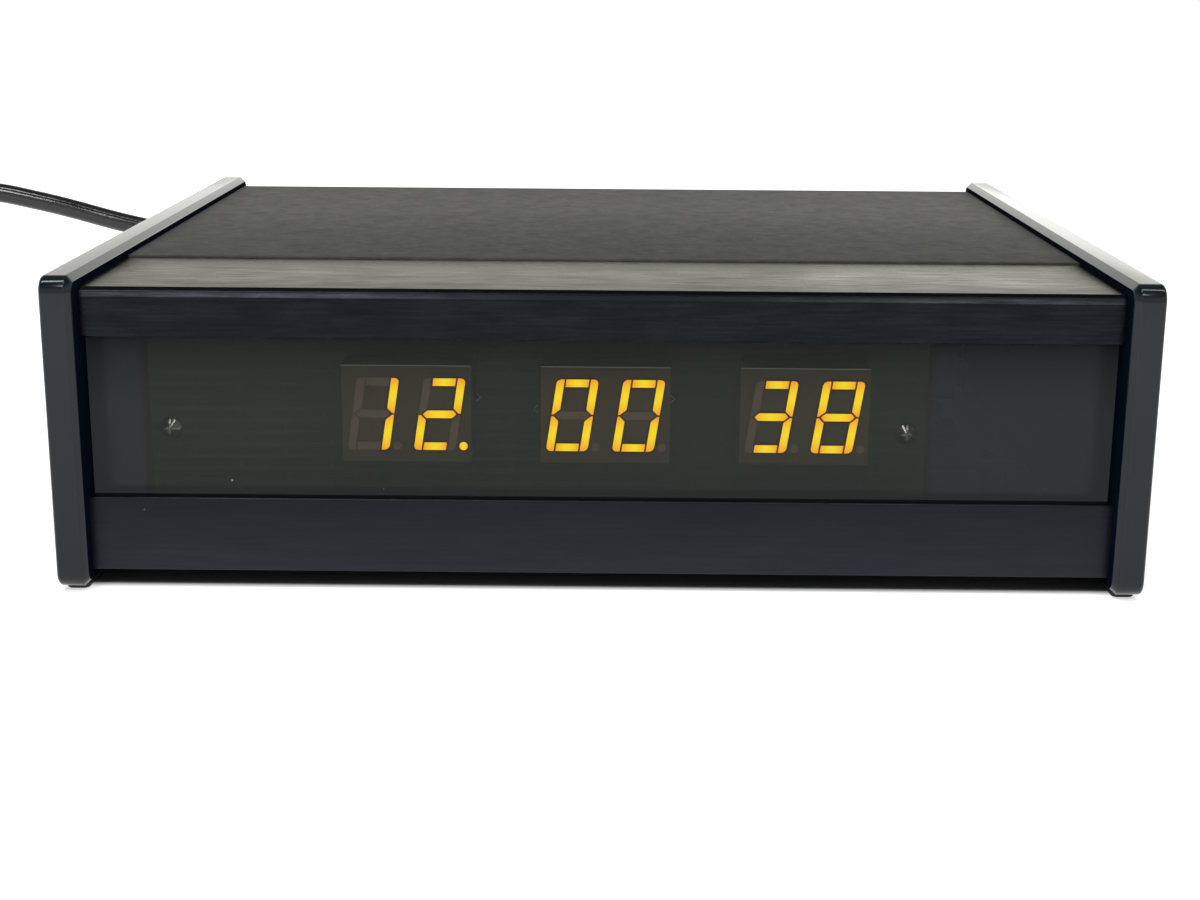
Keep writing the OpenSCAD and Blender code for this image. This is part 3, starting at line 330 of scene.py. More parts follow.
def rounded(points, steps=4):
    """Outline from corners of place and radius, with an arc at each corner that has a radius."""
    outline = []
    for i, (a, b, r) in enumerate(points):
        here = Vector((a, b))
        if not r:
            outline.append(here)
            continue
        back = (Vector(points[i - 1][:2]) - here).normalized()
        ahead = (Vector(points[(i + 1) % len(points)][:2]) - here).normalized()
        half = back.angle(ahead) / 2
        centre = here + (back + ahead).normalized() * r / math.sin(half)
        start = here + back * r / math.tan(half) - centre
        end = here + ahead * r / math.tan(half) - centre
        turn = start.angle_signed(end)
        for k in range(steps + 1):
            outline.append(centre + Matrix.Rotation(-turn * k / steps, 2) @ start)
    return outline


def round_rect(low, high, r):
    corners = [(low[0], low[1], r), (high[0], low[1], r), (high[0], high[1], r), (low[0], high[1], r)]
    return rounded(corners, CORNER_STEPS)


def pushed_x(bm, outline, x0, x1):
    """Outline in Y and Z, pushed along X."""
    loft(bm, [[(x, p[0], p[1]) for p in outline] for x in (x0, x1)])


def new_object(name, data):
    piece = bpy.data.objects.new(name, data)
    bpy.context.scene.collection.objects.link(piece)
    return piece


def make_object(name, bm):
    bmesh.ops.recalc_face_normals(bm, faces=bm.faces)
    bmesh.ops.scale(bm, vec=(MM, MM, MM), verts=bm.verts)
    mesh = bpy.data.meshes.new(name)
    bm.to_mesh(mesh)
    bm.free()
    return new_object(name, mesh)


def carve(piece, cutter):
    """Takes the cutter's shape out of the piece."""
    cut = piece.modifiers.new("carve", "BOOLEAN")
    cut.operation = "DIFFERENCE"
    cut.solver = "EXACT"
    cut.object = cutter
    shaped = piece.evaluated_get(bpy.context.evaluated_depsgraph_get())
    mesh = bpy.data.meshes.new_from_object(shaped)
    piece.modifiers.clear()
    piece.data = mesh
    bpy.data.objects.remove(cutter)


def dress(piece, material, slot, *nodes, angle=35.0, body=CASE):
    """Finish, smooth shading and place in the frame of one piece."""
    if piece.type == "MESH":
        piece.data.shade_smooth()
        piece.data.set_sharp_from_angle(angle=math.radians(angle))
    piece.data.materials.append(material)
    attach(piece, body)
    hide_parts(*nodes)
    return piece


# Node groups that several finishes use


def new_group(name, inputs, outputs):
    group = bpy.data.node_groups.new(name, "ShaderNodeTree")
    for label, value in inputs:
        socket = group.interface.new_socket(label, in_out="INPUT", socket_type="NodeSocketFloat")
        socket.default_value = value
    for label in outputs:
        group.interface.new_socket(label, in_out="OUTPUT", socket_type="NodeSocketFloat")
    return group, group.nodes.new("NodeGroupInput"), group.nodes.new("NodeGroupOutput")


def put(tree, value, socket):
    """Links a socket to another, or sets it to a number or a colour."""
    if isinstance(value, bpy.types.NodeSocket):
        tree.links.new(value, socket)
    elif value is not None:
        socket.default_value = value


def set_values(node, **values):
    """Sets inputs by name. A low line stands for a space."""
    for label, value in values.items():
        node.inputs[label.replace("_", " ")].default_value = value


def add_node(tree, kind):
    return tree.nodes.new("ShaderNode" + kind)


def add_math(tree, operation, a, b=None, clamp=False):
    step = add_node(tree, "Math")
    step.operation = operation
    step.use_clamp = clamp
    for socket, value in zip(step.inputs, (a, b)):
        put(tree, value, socket)
    return step.outputs[0]


def object_place(tree):
    return add_node(tree, "TexCoord").outputs["Object"]


def split_axes(tree, vector):
    split = add_node(tree, "SeparateXYZ")
    put(tree, vector, split.inputs[0])
    return split.outputs


def stretched_place(tree, along, across):
    """Place on the object, counted at one rate along X and another across it."""
    rates = add_node(tree, "CombineXYZ")
    for socket, rate in zip(rates.inputs, (along, across, across)):
        put(tree, rate, socket)
    product = add_node(tree, "VectorMath")
    product.operation = "MULTIPLY"
    put(tree, object_place(tree), product.inputs[0])
    put(tree, rates.outputs[0], product.inputs[1])
    return product.outputs[0]


def add_noise(tree, place, scale, detail=3.0, roughness=0.55):
    noise = add_node(tree, "TexNoise")
    set_values(noise, Detail=detail, Roughness=roughness)
    put(tree, place, noise.inputs["Vector"])
    put(tree, scale, noise.inputs["Scale"])
    return noise.outputs[0]


def add_range(tree, value, low, high, out_low=0.0, out_high=1.0):
    fitted = add_node(tree, "MapRange")
    put(tree, value, fitted.inputs["Value"])
    set_values(fitted, From_Min=low, From_Max=high, To_Min=out_low, To_Max=out_high)
    return fitted.outputs[0]


def make_brushed_lines():
    """Fine lines along X, as a brush leaves them on sheet metal."""
    rates = (("Along", 60.0), ("Across", 3000.0))
    group, start, end = new_group("brushed_lines", rates, ("Lines", "Streaks"))
    fine = add_noise(group, stretched_place(group, start.outputs[0], start.outputs[1]), 1.0, 2.0, 0.7)
    put(group, add_range(group, fine, 0.3, 0.7), end.inputs["Lines"])
    wide = add_math(group, "MULTIPLY", start.outputs[1], 0.12)
    broad = add_noise(group, stretched_place(group, start.outputs[0], wide), 1.0, 5.0, 0.7)
    put(group, add_range(group, broad, 0.3, 0.7), end.inputs["Streaks"])
    return group


def make_edge_wear():
    """Rubbed edges: where a rounded normal parts from the true one."""
    group, start, end = new_group("edge_wear", (("Radius", 0.0005), ("Amount", 1.0)), ("Mask",))
    soft = add_node(group, "Bevel")
    soft.samples = 4
    put(group, start.outputs["Radius"], soft.inputs["Radius"])
    facing = add_node(group, "VectorMath")
    facing.operation = "DOT_PRODUCT"
    put(group, soft.outputs["Normal"], facing.inputs[0])
    put(group, add_node(group, "NewGeometry").outputs["Normal"], facing.inputs[1])
    rubbed = add_range(group, facing.outputs["Value"], 0.995, 0.82)
    patches = add_range(group, add_noise(group, object_place(group), 220.0), 0.35, 0.65)
    broken = add_math(group, "MULTIPLY", rubbed, patches)
    worn = add_math(group, "MULTIPLY", broken, start.outputs["Amount"], clamp=True)
    put(group, worn, end.inputs["Mask"])
    return group


def make_fine_grain():
    """Even grain of a coated, moulded or cast surface."""
    group, start, end = new_group("fine_grain", (("Scale", 2500.0), ("Depth", 1.0)), ("Grain", "Cloud"))
    grain = add_noise(group, object_place(group), start.outputs["Scale"], 2.0)
    put(group, add_math(group, "MULTIPLY", grain, start.outputs["Depth"]), end.inputs["Grain"])
    cloud_scale = add_math(group, "MULTIPLY", start.outputs["Scale"], 0.02)
    cloud = add_noise(group, object_place(group), cloud_scale, 3.0)
    put(group, add_range(group, cloud, 0.3, 0.7), end.inputs["Cloud"])
    return group


def make_dust_specks():
    """A few pale specks of dust."""
    group, start, end = new_group("dust_specks", (("Scale", 160.0), ("Share", 0.03)), ("Mask",))
    cells = add_node(group, "TexVoronoi")
    put(group, object_place(group), cells.inputs["Vector"])
    put(group, start.outputs["Scale"], cells.inputs["Scale"])
    near = add_range(group, cells.outputs["Distance"], 0.036, 0.018)
    split = add_node(group, "SeparateColor")
    put(group, cells.outputs["Color"], split.inputs[0])
    chosen = add_math(group, "LESS_THAN", split.outputs[0], start.outputs["Share"])
    put(group, add_math(group, "MULTIPLY", near, chosen), end.inputs["Mask"])
    return group


BRUSHED = make_brushed_lines()
WEAR = make_edge_wear()
GRAIN = make_fine_grain()
DUST = make_dust_specks()


# Finishes


def new_finish(name, roughness=0.5, metallic=0.0, ior=1.5):
    material = bpy.data.materials.new(name)
    material.use_nodes = True
    shader = material.node_tree.nodes["Principled BSDF"]
    set_values(shader, Roughness=roughness, Metallic=metallic, IOR=ior)
    return material, material.node_tree, shader


def place_group(tree, group, **values):
    used = add_node(tree, "Group")
    used.node_tree = group
    set_values(used, **values)
    return used.outputs


def mix_colour(tree, share, a, b):
    """Colour a, going over to b as the share rises. Either may be a socket."""
    mix = add_node(tree, "Mix")
    mix.data_type = "RGBA"
    put(tree, share, mix.inputs["Factor"])
    for socket, value in ((mix.inputs[6], a), (mix.inputs[7], b)):
        put(tree, (*value, 1.0) if isinstance(value, tuple) else value, socket)
    return mix.outputs[2]


def add_bump(tree, shader, height, depth):
    bump = add_node(tree, "Bump")
    set_values(bump, Strength=1.0, Distance=depth)
    put(tree, height, bump.inputs["Height"])
    put(tree, bump.outputs[0], shader.inputs["Normal"])


def cloudy_gloss(tree, shader, grained, low, high):
    put(tree, add_range(tree, grained["Cloud"], 0.0, 1.0, low, high), shader.inputs["Roughness"])


def worn_and_dusty(tree, shader, base, worn, radius, amount, share):
    """Colour with rubbed edges and a few specks of dust."""
    rubbed = place_group(tree, WEAR, Radius=radius, Amount=amount)
    specks = place_group(tree, DUST, Scale=DUST_SCALE, Share=share)
    rubbed_base = mix_colour(tree, rubbed["Mask"], base, worn)
    put(tree, mix_colour(tree, specks["Mask"], rubbed_base, DUST_COLOUR), shader.inputs["Base Color"])


def coated(name, colour, roughness, metallic=0.0, grain=2500.0, depth=0.00001, worn=None):
    """Painted, moulded, plated or bare surface with grain, cloudy gloss and rubbed edges."""
    material, tree, shader = new_finish(name, roughness, metallic)
    grained = place_group(tree, GRAIN, Scale=grain)
    rubbed = place_group(tree, WEAR, Amount=0.5)
    darker = tuple(0.8 * c for c in colour)
    clouded = mix_colour(tree, grained["Cloud"], darker, colour)
    pale = worn or tuple(min(1.0, 1.6 * c + 0.02) for c in colour)
    put(tree, mix_colour(tree, rubbed["Mask"], clouded, pale), shader.inputs["Base Color"])
    cloudy_gloss(tree, shader, grained, roughness * 0.88, roughness * 1.12)
    add_bump(tree, shader, grained["Grain"], depth)
    return material


def plate_black():
    """Satin black enamel of the side plates."""
    material, tree, shader = new_finish("plate_black", 0.16, ior=1.25)
    set_values(shader, Coat_Weight=1.0, Coat_IOR=1.25, Coat_Roughness=0.1)
    grained = place_group(tree, GRAIN, Scale=3200.0)
    base = mix_colour(tree, grained["Cloud"], (0.001, 0.006, 0.009), (0.003, 0.0085, 0.0115))
    # Edges made lighter by the edge_wear mask, and a few pale specks of dust.
    worn_and_dusty(tree, shader, base, (0.05, 0.052, 0.054), radius=0.0005, amount=0.6, share=0.3)
    cloudy_gloss(tree, shader, grained, 0.13, 0.18)
    add_bump(tree, shader, grained["Grain"], 0.000004)
    return material


def plate_shaded_inside():
    """Inner face of a side plate: a dull, nearly unreflecting and slightly darker copy of the plate's black,
    as painted shade.
    """
    material, tree, shader = new_finish("plate_shaded_inside", 0.9, ior=1.06)
    grained = place_group(tree, GRAIN, Scale=3200.0)
    base = mix_colour(tree, grained["Cloud"], (0.001, 0.004, 0.009), (0.003, 0.006, 0.012))
    put(tree, base, shader.inputs["Base Color"])
    cloudy_gloss(tree, shader, grained, 0.85, 0.95)
    return material


def height_share(tree, low, high):
    """0 at the low height in mm, rising to 1 at the high one."""
    return add_range(tree, split_axes(tree, object_place(tree))["Z"], low * MM, high * MM)


def brushed(name, tones, along, across, roughness, spread, metallic=1.0, painted_shade_span=None):
    """Black anodised aluminium with brush lines along the case's width; with heights given, painted shade
    darkens it upwards.
    """
    material, tree, shader = new_finish(name, roughness, metallic)
    set_values(shader, Specular_Tint=(1.0, 0.99, 0.92, 1.0))
    lines = place_group(tree, BRUSHED, Along=along, Across=across)
    mixed = add_math(tree, "ADD", lines["Streaks"], lines["Lines"])
    base = mix_colour(tree, add_range(tree, mixed, 0.4, 1.6), *tones)
    # Painted shade: darker towards the top edge, for the table's dimmer reflection there.
    if painted_shade_span:
        painted_shade_tone = tuple(PAINTED_SHADE_TO * (a + b) / 2 for a, b in zip(*tones))
        base = mix_colour(tree, height_share(tree, *painted_shade_span), base, painted_shade_tone)
    worn_and_dusty(tree, shader, base, (0.05, 0.05, 0.052), radius=0.0004, amount=0.45, share=0.35)
    rough = add_range(tree, mixed, 0.3, 1.7, roughness * (1 + spread), roughness * (1 - spread))
    put(tree, rough, shader.inputs["Roughness"])
    add_bump(tree, shader, lines["Lines"], 0.000003)
    return material


def light_below_trim(tree):
    """Light on the window: least right under the front trim's lip, and full some way below it."""
    lip = extent("front_trim")[1].z - TRIM_LIP
    below = height_share(tree, lip, lip - SHADE_H)
    return add_math(tree, "POWER", below, SHADE_POWER)


def past_board(tree):
    """Share of the painted pale glow: full at the window's ends, past the circuit board, and some along its
    foot.
    """
    low, high = extent("display_board")
    place = split_axes(tree, object_place(tree))
    past_left = add_math(tree, "SUBTRACT", low.x * NEAR_SCALE * MM, place["X"])
    past_right = add_math(tree, "SUBTRACT", place["X"], high.x * NEAR_SCALE * MM)
    past_end = add_math(tree, "MAXIMUM", past_left, past_right)
    sill = extent("lower_front_panel")[0].z + SILL_LIP
    foot = add_range(tree, place["Z"], (sill + FOOT_HAZE_H) * MM, sill * MM, 0.0, PAINTED_FOOT_HAZE)
    return add_math(tree, "MAXIMUM", add_range(tree, past_end, *HAZE_EDGE), foot)


def smoked_window():
    """Front face of the smoked acrylic: nearly black, with the haze of scattered light painted on as a glow,
    and painted shade under the trim.
    """
    material, tree, shader = new_finish("smoked_window", 0.2, ior=1.2)
    grained = place_group(tree, GRAIN, Scale=900.0)
    specks = place_group(tree, DUST, Scale=150.0, Share=0.8)
    tint = mix_colour(tree, grained["Cloud"], (0.002, 0.0025, 0.0022), (0.003, 0.0036, 0.0032))
    put(tree, mix_colour(tree, specks["Mask"], tint, (0.6, 0.6, 0.58)), shader.inputs["Base Color"])
    cloudy_gloss(tree, shader, grained, 0.17, 0.23)
    # Painted light: the haze is emission, paler past the board's ends and along the foot.
    haze = mix_colour(tree, grained["Cloud"], *PAINTED_HAZE_TONES)
    painted_end_haze = mix_colour(tree, past_board(tree), haze, PAINTED_END_HAZE)
    # Painted shade: the glow is least right under the trim's lip.
    painted_haze_and_shade = mix_colour(tree, light_below_trim(tree), PAINTED_LIP_SHADE, painted_end_haze)
    put(tree, painted_haze_and_shade, shader.inputs["Emission Color"])
    set_values(shader, Emission_Strength=1.0, Alpha=0.75)
    return material


def window_back():
    """Rear face and edges of the window."""
    material, tree, shader = new_finish("window_back", 0.1, ior=1.43)
    grained = place_group(tree, GRAIN, Scale=900.0)
    tint = mix_colour(tree, grained["Cloud"], (0.01, 0.014, 0.012), (0.014, 0.018, 0.016))
    put(tree, tint, shader.inputs["Base Color"])
    set_values(shader, Alpha=0.1)
    return material


def board_green():
    """Circuit board with its tracks showing through the green lacquer."""
    material, tree, shader = new_finish("board_green", 0.35)
    tracks = add_node(tree, "TexBrick")
    set_values(tracks, Scale=90.0, Mortar_Size=0.04, Brick_Width=1.6, Row_Height=0.22)
    set_values(tracks, Color1=(0.045, 0.10, 0.05, 1.0), Color2=(0.05, 0.11, 0.055, 1.0))
    set_values(tracks, Mortar=(0.09, 0.17, 0.08, 1.0))
    turned = add_node(tree, "Mapping")
    set_values(turned, Rotation=(math.pi / 2, 0.0, 0.0))
    put(tree, object_place(tree), turned.inputs["Vector"])
    put(tree, turned.outputs[0], tracks.inputs["Vector"])
    grained = place_group(tree, GRAIN, Scale=1500.0)
    base = mix_colour(tree, grained["Cloud"], tracks.outputs["Color"], (0.05, 0.10, 0.055))
    put(tree, base, shader.inputs["Base Color"])
    add_bump(tree, shader, tracks.outputs["Fac"], 0.00004)
    return material


def module_face():
    """Printed grey-brown face of a digit module, with its dark moulded sides, a faint painted glow on the
    face and a painted highlight along its top edge.
    """
    material, tree, shader = new_finish("module_face", 0.55)
    grained = place_group(tree, GRAIN, Scale=2200.0)
    normal = split_axes(tree, add_node(tree, "NewGeometry").outputs["Normal"])
    front = add_range(tree, normal["Y"], -0.7, -0.95)
    face = mix_colour(tree, grained["Cloud"], (0.25, 0.165, 0.08), (0.29, 0.195, 0.1))
    put(tree, mix_colour(tree, front, (0.12, 0.12, 0.10), face), shader.inputs["Base Color"])
    # Painted light: a faint glow on the face, and a brighter painted highlight on the upward bevel of the
    # top edge.
    glow = mix_colour(tree, grained["Cloud"], (0.06, 0.04, 0.022), (0.067, 0.045, 0.026))
    upward = add_range(tree, normal["Z"], 0.25, 0.6)
    forward = add_range(tree, normal["Y"], -0.15, -0.4)
    painted_edge_highlight = add_math(tree, "MULTIPLY", upward, forward)
    painted_face_glow = mix_colour(tree, front, (0.0, 0.0, 0.0), glow)
    put(tree, mix_colour(tree, painted_edge_highlight, painted_face_glow, (1.0, 0.85, 0.65)), shader.inputs["Emission Color"])
    set_values(shader, Emission_Strength=0.3)
    put(tree, add_range(tree, grained["Grain"], 0.0, 1.0, 0.45, 0.65), shader.inputs["Roughness"])
    add_bump(tree, shader, grained["Grain"], 0.00001)
    return material


def segment_unlit():
    """Unlit segment: pale plastic with a painted glow for the little light it takes from its neighbours."""
    material, tree, shader = new_finish("segment_unlit", 0.5)
    grained = place_group(tree, GRAIN, Scale=2000.0)
    base = mix_colour(tree, grained["Cloud"], (0.32, 0.25, 0.2), (0.36, 0.29, 0.24))
    put(tree, base, shader.inputs["Base Color"])
    # Painted glow: emission for its neighbours' light.
    glow = mix_colour(tree, grained["Cloud"], (1.0, 0.66, 0.38), (1.0, 0.7, 0.42))
    put(tree, glow, shader.inputs["Emission Color"])
    set_values(shader, Emission_Strength=0.12)
    return material


def segment_lit():
    """Lit segment: clear yellow in the middle, going over to orange at its ends."""
    material, tree, shader = new_finish("segment_lit", 0.4)
    core = add_node(tree, "Attribute")
    core.attribute_name = "core"
    along = add_node(tree, "Attribute")
    along.attribute_name = "along"
    away = add_math(tree, "ABSOLUTE", along.outputs["Fac"])
    squared = add_math(tree, "POWER", away, 1.5)
    middle = add_range(tree, squared, 1.0, 0.05)
    hot = add_math(tree, "MULTIPLY", add_range(tree, core.outputs["Fac"], 0.0, 1.0, 0.75, 1.0), middle)
    glow = mix_colour(tree, hot, (0.93, 0.33, 0.0), (0.97, 0.71, 0.0))
    put(tree, glow, shader.inputs["Emission Color"])
    set_values(shader, Emission_Strength=3.9)
    put(tree, mix_colour(tree, hot, (0.5, 0.25, 0.01), (0.6, 0.5, 0.02)), shader.inputs["Base Color"])
    return material


def lead_black():
    """Black flexible jacket of the mains lead, with a soft gloss."""
    material, tree, shader = new_finish("cord_black", 0.2)
    grained = place_group(tree, GRAIN, Scale=1200.0)
    base = mix_colour(tree, grained["Cloud"], (0.008, 0.008, 0.009), (0.014, 0.014, 0.015))
    put(tree, base, shader.inputs["Base Color"])
    cloudy_gloss(tree, shader, grained, 0.11, 0.18)
    add_bump(tree, shader, grained["Grain"], 0.00002)
    return material


# Camera, light and floor


def make_camera():
    data = bpy.data.cameras.new("photo_camera")
    data.sensor_fit = "HORIZONTAL"
    data.sensor_width = SENSOR_W
    data.lens = FOCAL_PIXELS * SENSOR_W / PHOTO_SIZE[0]
    data.clip_start = 0.01
    camera = new_object("photo_camera", data)
    level = math.cos(CAMERA_PITCH)
    ahead = Vector((math.sin(CAMERA_YAW) * level, math.cos(CAMERA_YAW) * level, -math.sin(CAMERA_PITCH)))
    right = Vector((math.cos(CAMERA_YAW), -math.sin(CAMERA_YAW), 0.0))
    up = right.cross(ahead)
    across = right * math.cos(CAMERA_ROLL) + up * math.sin(CAMERA_ROLL)
    above = up * math.cos(CAMERA_ROLL) - right * math.sin(CAMERA_ROLL)
    place = Matrix((across, above, -ahead)).transposed().to_4x4()
    place.translation = Vector(CAMERA_AT) * MM
    camera.matrix_world = place
    bpy.context.scene.camera = camera


def seen_rays(tree):
    """1 for the rays that show the background: from the camera, or off metal or through glass."""
    path = add_node(tree, "LightPath").outputs
    seen = add_math(tree, "MAXIMUM", path["Is Camera Ray"], path["Is Glossy Ray"])
    return add_math(tree, "MAXIMUM", seen, path["Is Transmission Ray"])


def make_world():
    """White for the camera. Polished faces see the backdrop's shading and a plain grey studio over it."""
    world = bpy.data.worlds.new("studio")
    bpy.context.scene.world = world
    world.use_nodes = True
    tree = world.node_tree
    tree.nodes.clear()
    way = split_axes(tree, add_node(tree, "TexCoord").outputs["Generated"])
    high = add_range(tree, way["Z"], 0.34, 0.62)
    across = add_range(tree, way["X"], -0.5, 0.5)
    foot = mix_colour(tree, across, (1.0, 1.0, 0.96), (0.86, 0.86, 0.82))
    wall = mix_colour(tree, across, (0.86, 0.86, 0.82), (1.0, 1.0, 0.95))
    rising = add_range(tree, way["Z"], 0.1, 0.17)
    backdrop = mix_colour(tree, high, mix_colour(tree, rising, foot, wall), (0.1, 0.1, 0.105))
    mirrored = mix_colour(tree, seen_rays(tree), (0.36, 0.36, 0.36), backdrop)
    camera_ray = add_node(tree, "LightPath").outputs["Is Camera Ray"]
    shown = mix_colour(tree, camera_ray, mirrored, (1.0, 1.0, 1.0))
    background = add_node(tree, "Background")
    put(tree, shown, background.inputs["Color"])
    output = add_node(tree, "OutputWorld")
    put(tree, background.outputs[0], output.inputs["Surface"])


def outside_painted_shadow(tree):
    """Mask of the painted shadow: 0 on the table under the case, rising to 1 just outside it."""
    low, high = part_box("side_plate_left")
    place = split_axes(tree, object_place(tree))
    past_side = add_math(tree, "ADD", add_math(tree, "ABSOLUTE", place["X"]), low[0] - PAINTED_SHADOW_SIDE)
    centred = add_math(tree, "SUBTRACT", place["Y"], (low[1] + high[1]) / 2)
    past_end = add_math(tree, "SUBTRACT", add_math(tree, "ABSOLUTE", centred), (high[1] - low[1]) / 2)
    return add_range(tree, add_math(tree, "MAXIMUM", past_side, past_end), *PAINTED_SHADOW_FADE)


def make_floor():
    """White table top that keeps the object's shadow, with a painted shadow under the case."""
    material = bpy.data.materials.new("table_white")
    material.use_nodes = True
    tree = material.node_tree
    tree.nodes.clear()
    matt = add_node(tree, "BsdfDiffuse")
    clear = outside_painted_shadow(tree)
    # Painted shadow: the table's colour is darker under the case.
    put(tree, mix_colour(tree, clear, (0.2, 0.2, 0.21), (0.78, 0.78, 0.78)), matt.inputs["Color"])
    lift = add_node(tree, "Emission")
    distance = add_node(tree, "VectorMath")
    distance.operation = "LENGTH"
    put(tree, object_place(tree), distance.inputs[0])
    level = add_range(tree, distance.outputs["Value"], 0.15, 0.7, 0.58, 0.85)
    # Painted shadow: the white lift for seen rays is taken away under the case.
    lifted = add_math(tree, "MULTIPLY", seen_rays(tree), clear)
    put(tree, add_math(tree, "MULTIPLY", lifted, level), lift.inputs["Strength"])
    total = add_node(tree, "AddShader")
    put(tree, matt.outputs[0], total.inputs[0])
    put(tree, lift.outputs[0], total.inputs[1])
    output = add_node(tree, "OutputMaterial")
    put(tree, total.outputs[0], output.inputs["Surface"])
    bm = bmesh.new()
    bmesh.ops.create_circle(bm, cap_ends=True, segments=96, radius=TABLE_R)
    floor = make_object("table", bm)
    floor.data.materials.append(material)


def add_softbox(name, at, aim, size, power):
    data = bpy.data.lights.new(name, "AREA")
    data.shape = "RECTANGLE"
    data.size = size[0]
    data.size_y = size[1]
    data.energy = power
    lamp = new_object(name, data)
    lamp.location = at
    lamp.rotation_euler = (Vector(aim) - Vector(at)).to_track_quat("-Z", "Y").to_euler()
    lamp.visible_camera = False


def make_lights():
    add_softbox("overhead_left", (-0.42, -0.2, 1.1), (-0.1, -0.1, 0.0), (0.16, 0.7), 5.0)
    add_softbox("overhead_right", (0.5, -0.2, 1.1), (0.1, -0.1, 0.0), (0.16, 0.7), 2.5)
    add_softbox("front_left", (-0.3, -0.82, 0.92), (0.0, -0.09, 0.05), (0.24, 0.34), 3.8)
    add_softbox("front_right", (0.3, -0.82, 0.92), (0.0, -0.09, 0.05), (0.24, 0.34), 2.7)
    add_softbox("back_right", (0.6, 1.5, 0.25), (0.1, 0.0, 0.06), (0.8, 0.3), 0.35)


# Mains lead


def smooth_route(points, steps):
    """Cubic curve that follows the points and starts and ends on the first and last."""
    held = [points[0]] * 2 + list(points) + [points[-1]] * 2
    held = [Vector(p) for p in held]
    path = []
    for a, b, c, d in zip(held, held[1:], held[2:], held[3:]):
        for k in range(steps):
            u = k / steps
            inner = (3 * u ** 3 - 6 * u ** 2 + 4, -3 * u ** 3 + 3 * u ** 2 + 3 * u + 1)
            weights = ((1 - u) ** 3, *inner, u ** 3)
            path.append(sum((w * p for w, p in zip(weights, (a, b, c, d))), Vector()) / 6)
    return path


def coil_point(turns):
    layer, share = divmod(turns / LAYER_TURNS, 1.0)
    inward = share if layer % 2 == 0 else 1 - share
    r = COIL_R - COIL_STEP * LAYER_TURNS * inward
    a = math.pi / 2 + 2 * math.pi * turns
    climbs = [eased((turns - k * LAYER_TURNS) / CLIMB_TURNS + 0.5) for k in range(1, COIL_LAYERS)]
    z = COIL_Z_HIGH - COIL_STEP * sum(climbs)
    return Vector((COIL_AT[0] + r * math.cos(a), COIL_AT[1] + r * math.sin(a), z))


def tail_points():
    points = []
    for i in range(TAIL_STEPS + 1):
        s = i / TAIL_STEPS
        z = COIL_Z_LOW + (PLUG_Z - COIL_Z_LOW) * eased(s)
        points.append(Vector((TAIL_AT[0], TAIL_AT[1] - s * TAIL_RUN, z)))
    return points


def make_lead(material):
    count = round(COIL_TURNS * POINTS_PER_TURN)
    coil = [coil_point(COIL_TURNS * i / count) for i in range(count + 1)]
    path = smooth_route(CORD_ROUTE, ROUTE_STEPS) + [Vector(CORD_ROUTE[-1])] + coil + tail_points()
    data = bpy.data.curves.new("mains_lead", "CURVE")
    data.dimensions = "3D"
    data.bevel_depth = CORD_D / 2 * MM
    data.bevel_resolution = 5
    data.use_fill_caps = True
    spline = data.splines.new("POLY")
    spline.points.add(len(path) - 1)
    for point, place in zip(spline.points, path):
        point.co = (*(place * MM), 1.0)
    spline.use_smooth = True
    return dress(new_object("mains_lead", data), material, "cord_black", "cord", "cord_coil", "cord_tail")


def make_strain_relief(material):
    low, high = extent("strain_relief")
    x, _, z = CORD_ROUTE[0]
    outside = extent("rear_panel")[1].y
    neck = outside + RELIEF_FLANGE_T
    profile = [(low.y, RELIEF_BARREL_R - RELIEF_BARREL_CUT), (low.y + RELIEF_BARREL_CUT, RELIEF_BARREL_R)]
    profile += [(outside, RELIEF_BARREL_R), (outside, RELIEF_FLANGE_R - RELIEF_EDGE)]
    profile += [(outside + RELIEF_EDGE, RELIEF_FLANGE_R), (neck - RELIEF_GROOVE, RELIEF_FLANGE_R)]
    profile.append((neck, RELIEF_FLANGE_R - RELIEF_GROOVE))
    pitch = (high.y - neck) / RELIEF_RIBS
    for i in range(RELIEF_RIBS):
        r = RELIEF_NECK_R + (RELIEF_TIP_R - RELIEF_NECK_R) * i / RELIEF_RIBS
        start = neck + i * pitch
        profile.append((start + RELIEF_START, r - RELIEF_GROOVE))
        profile += [(start + share * pitch, r - depth) for share, depth in RELIEF_RIB]
    profile[-1] = (high.y, RELIEF_TIP_R - RELIEF_EDGE)
    bm = bmesh.new()
    turned_y(bm, x, z, profile)
    return dress(make_object("cord_relief", bm), material, "moulded_black", "strain_relief")


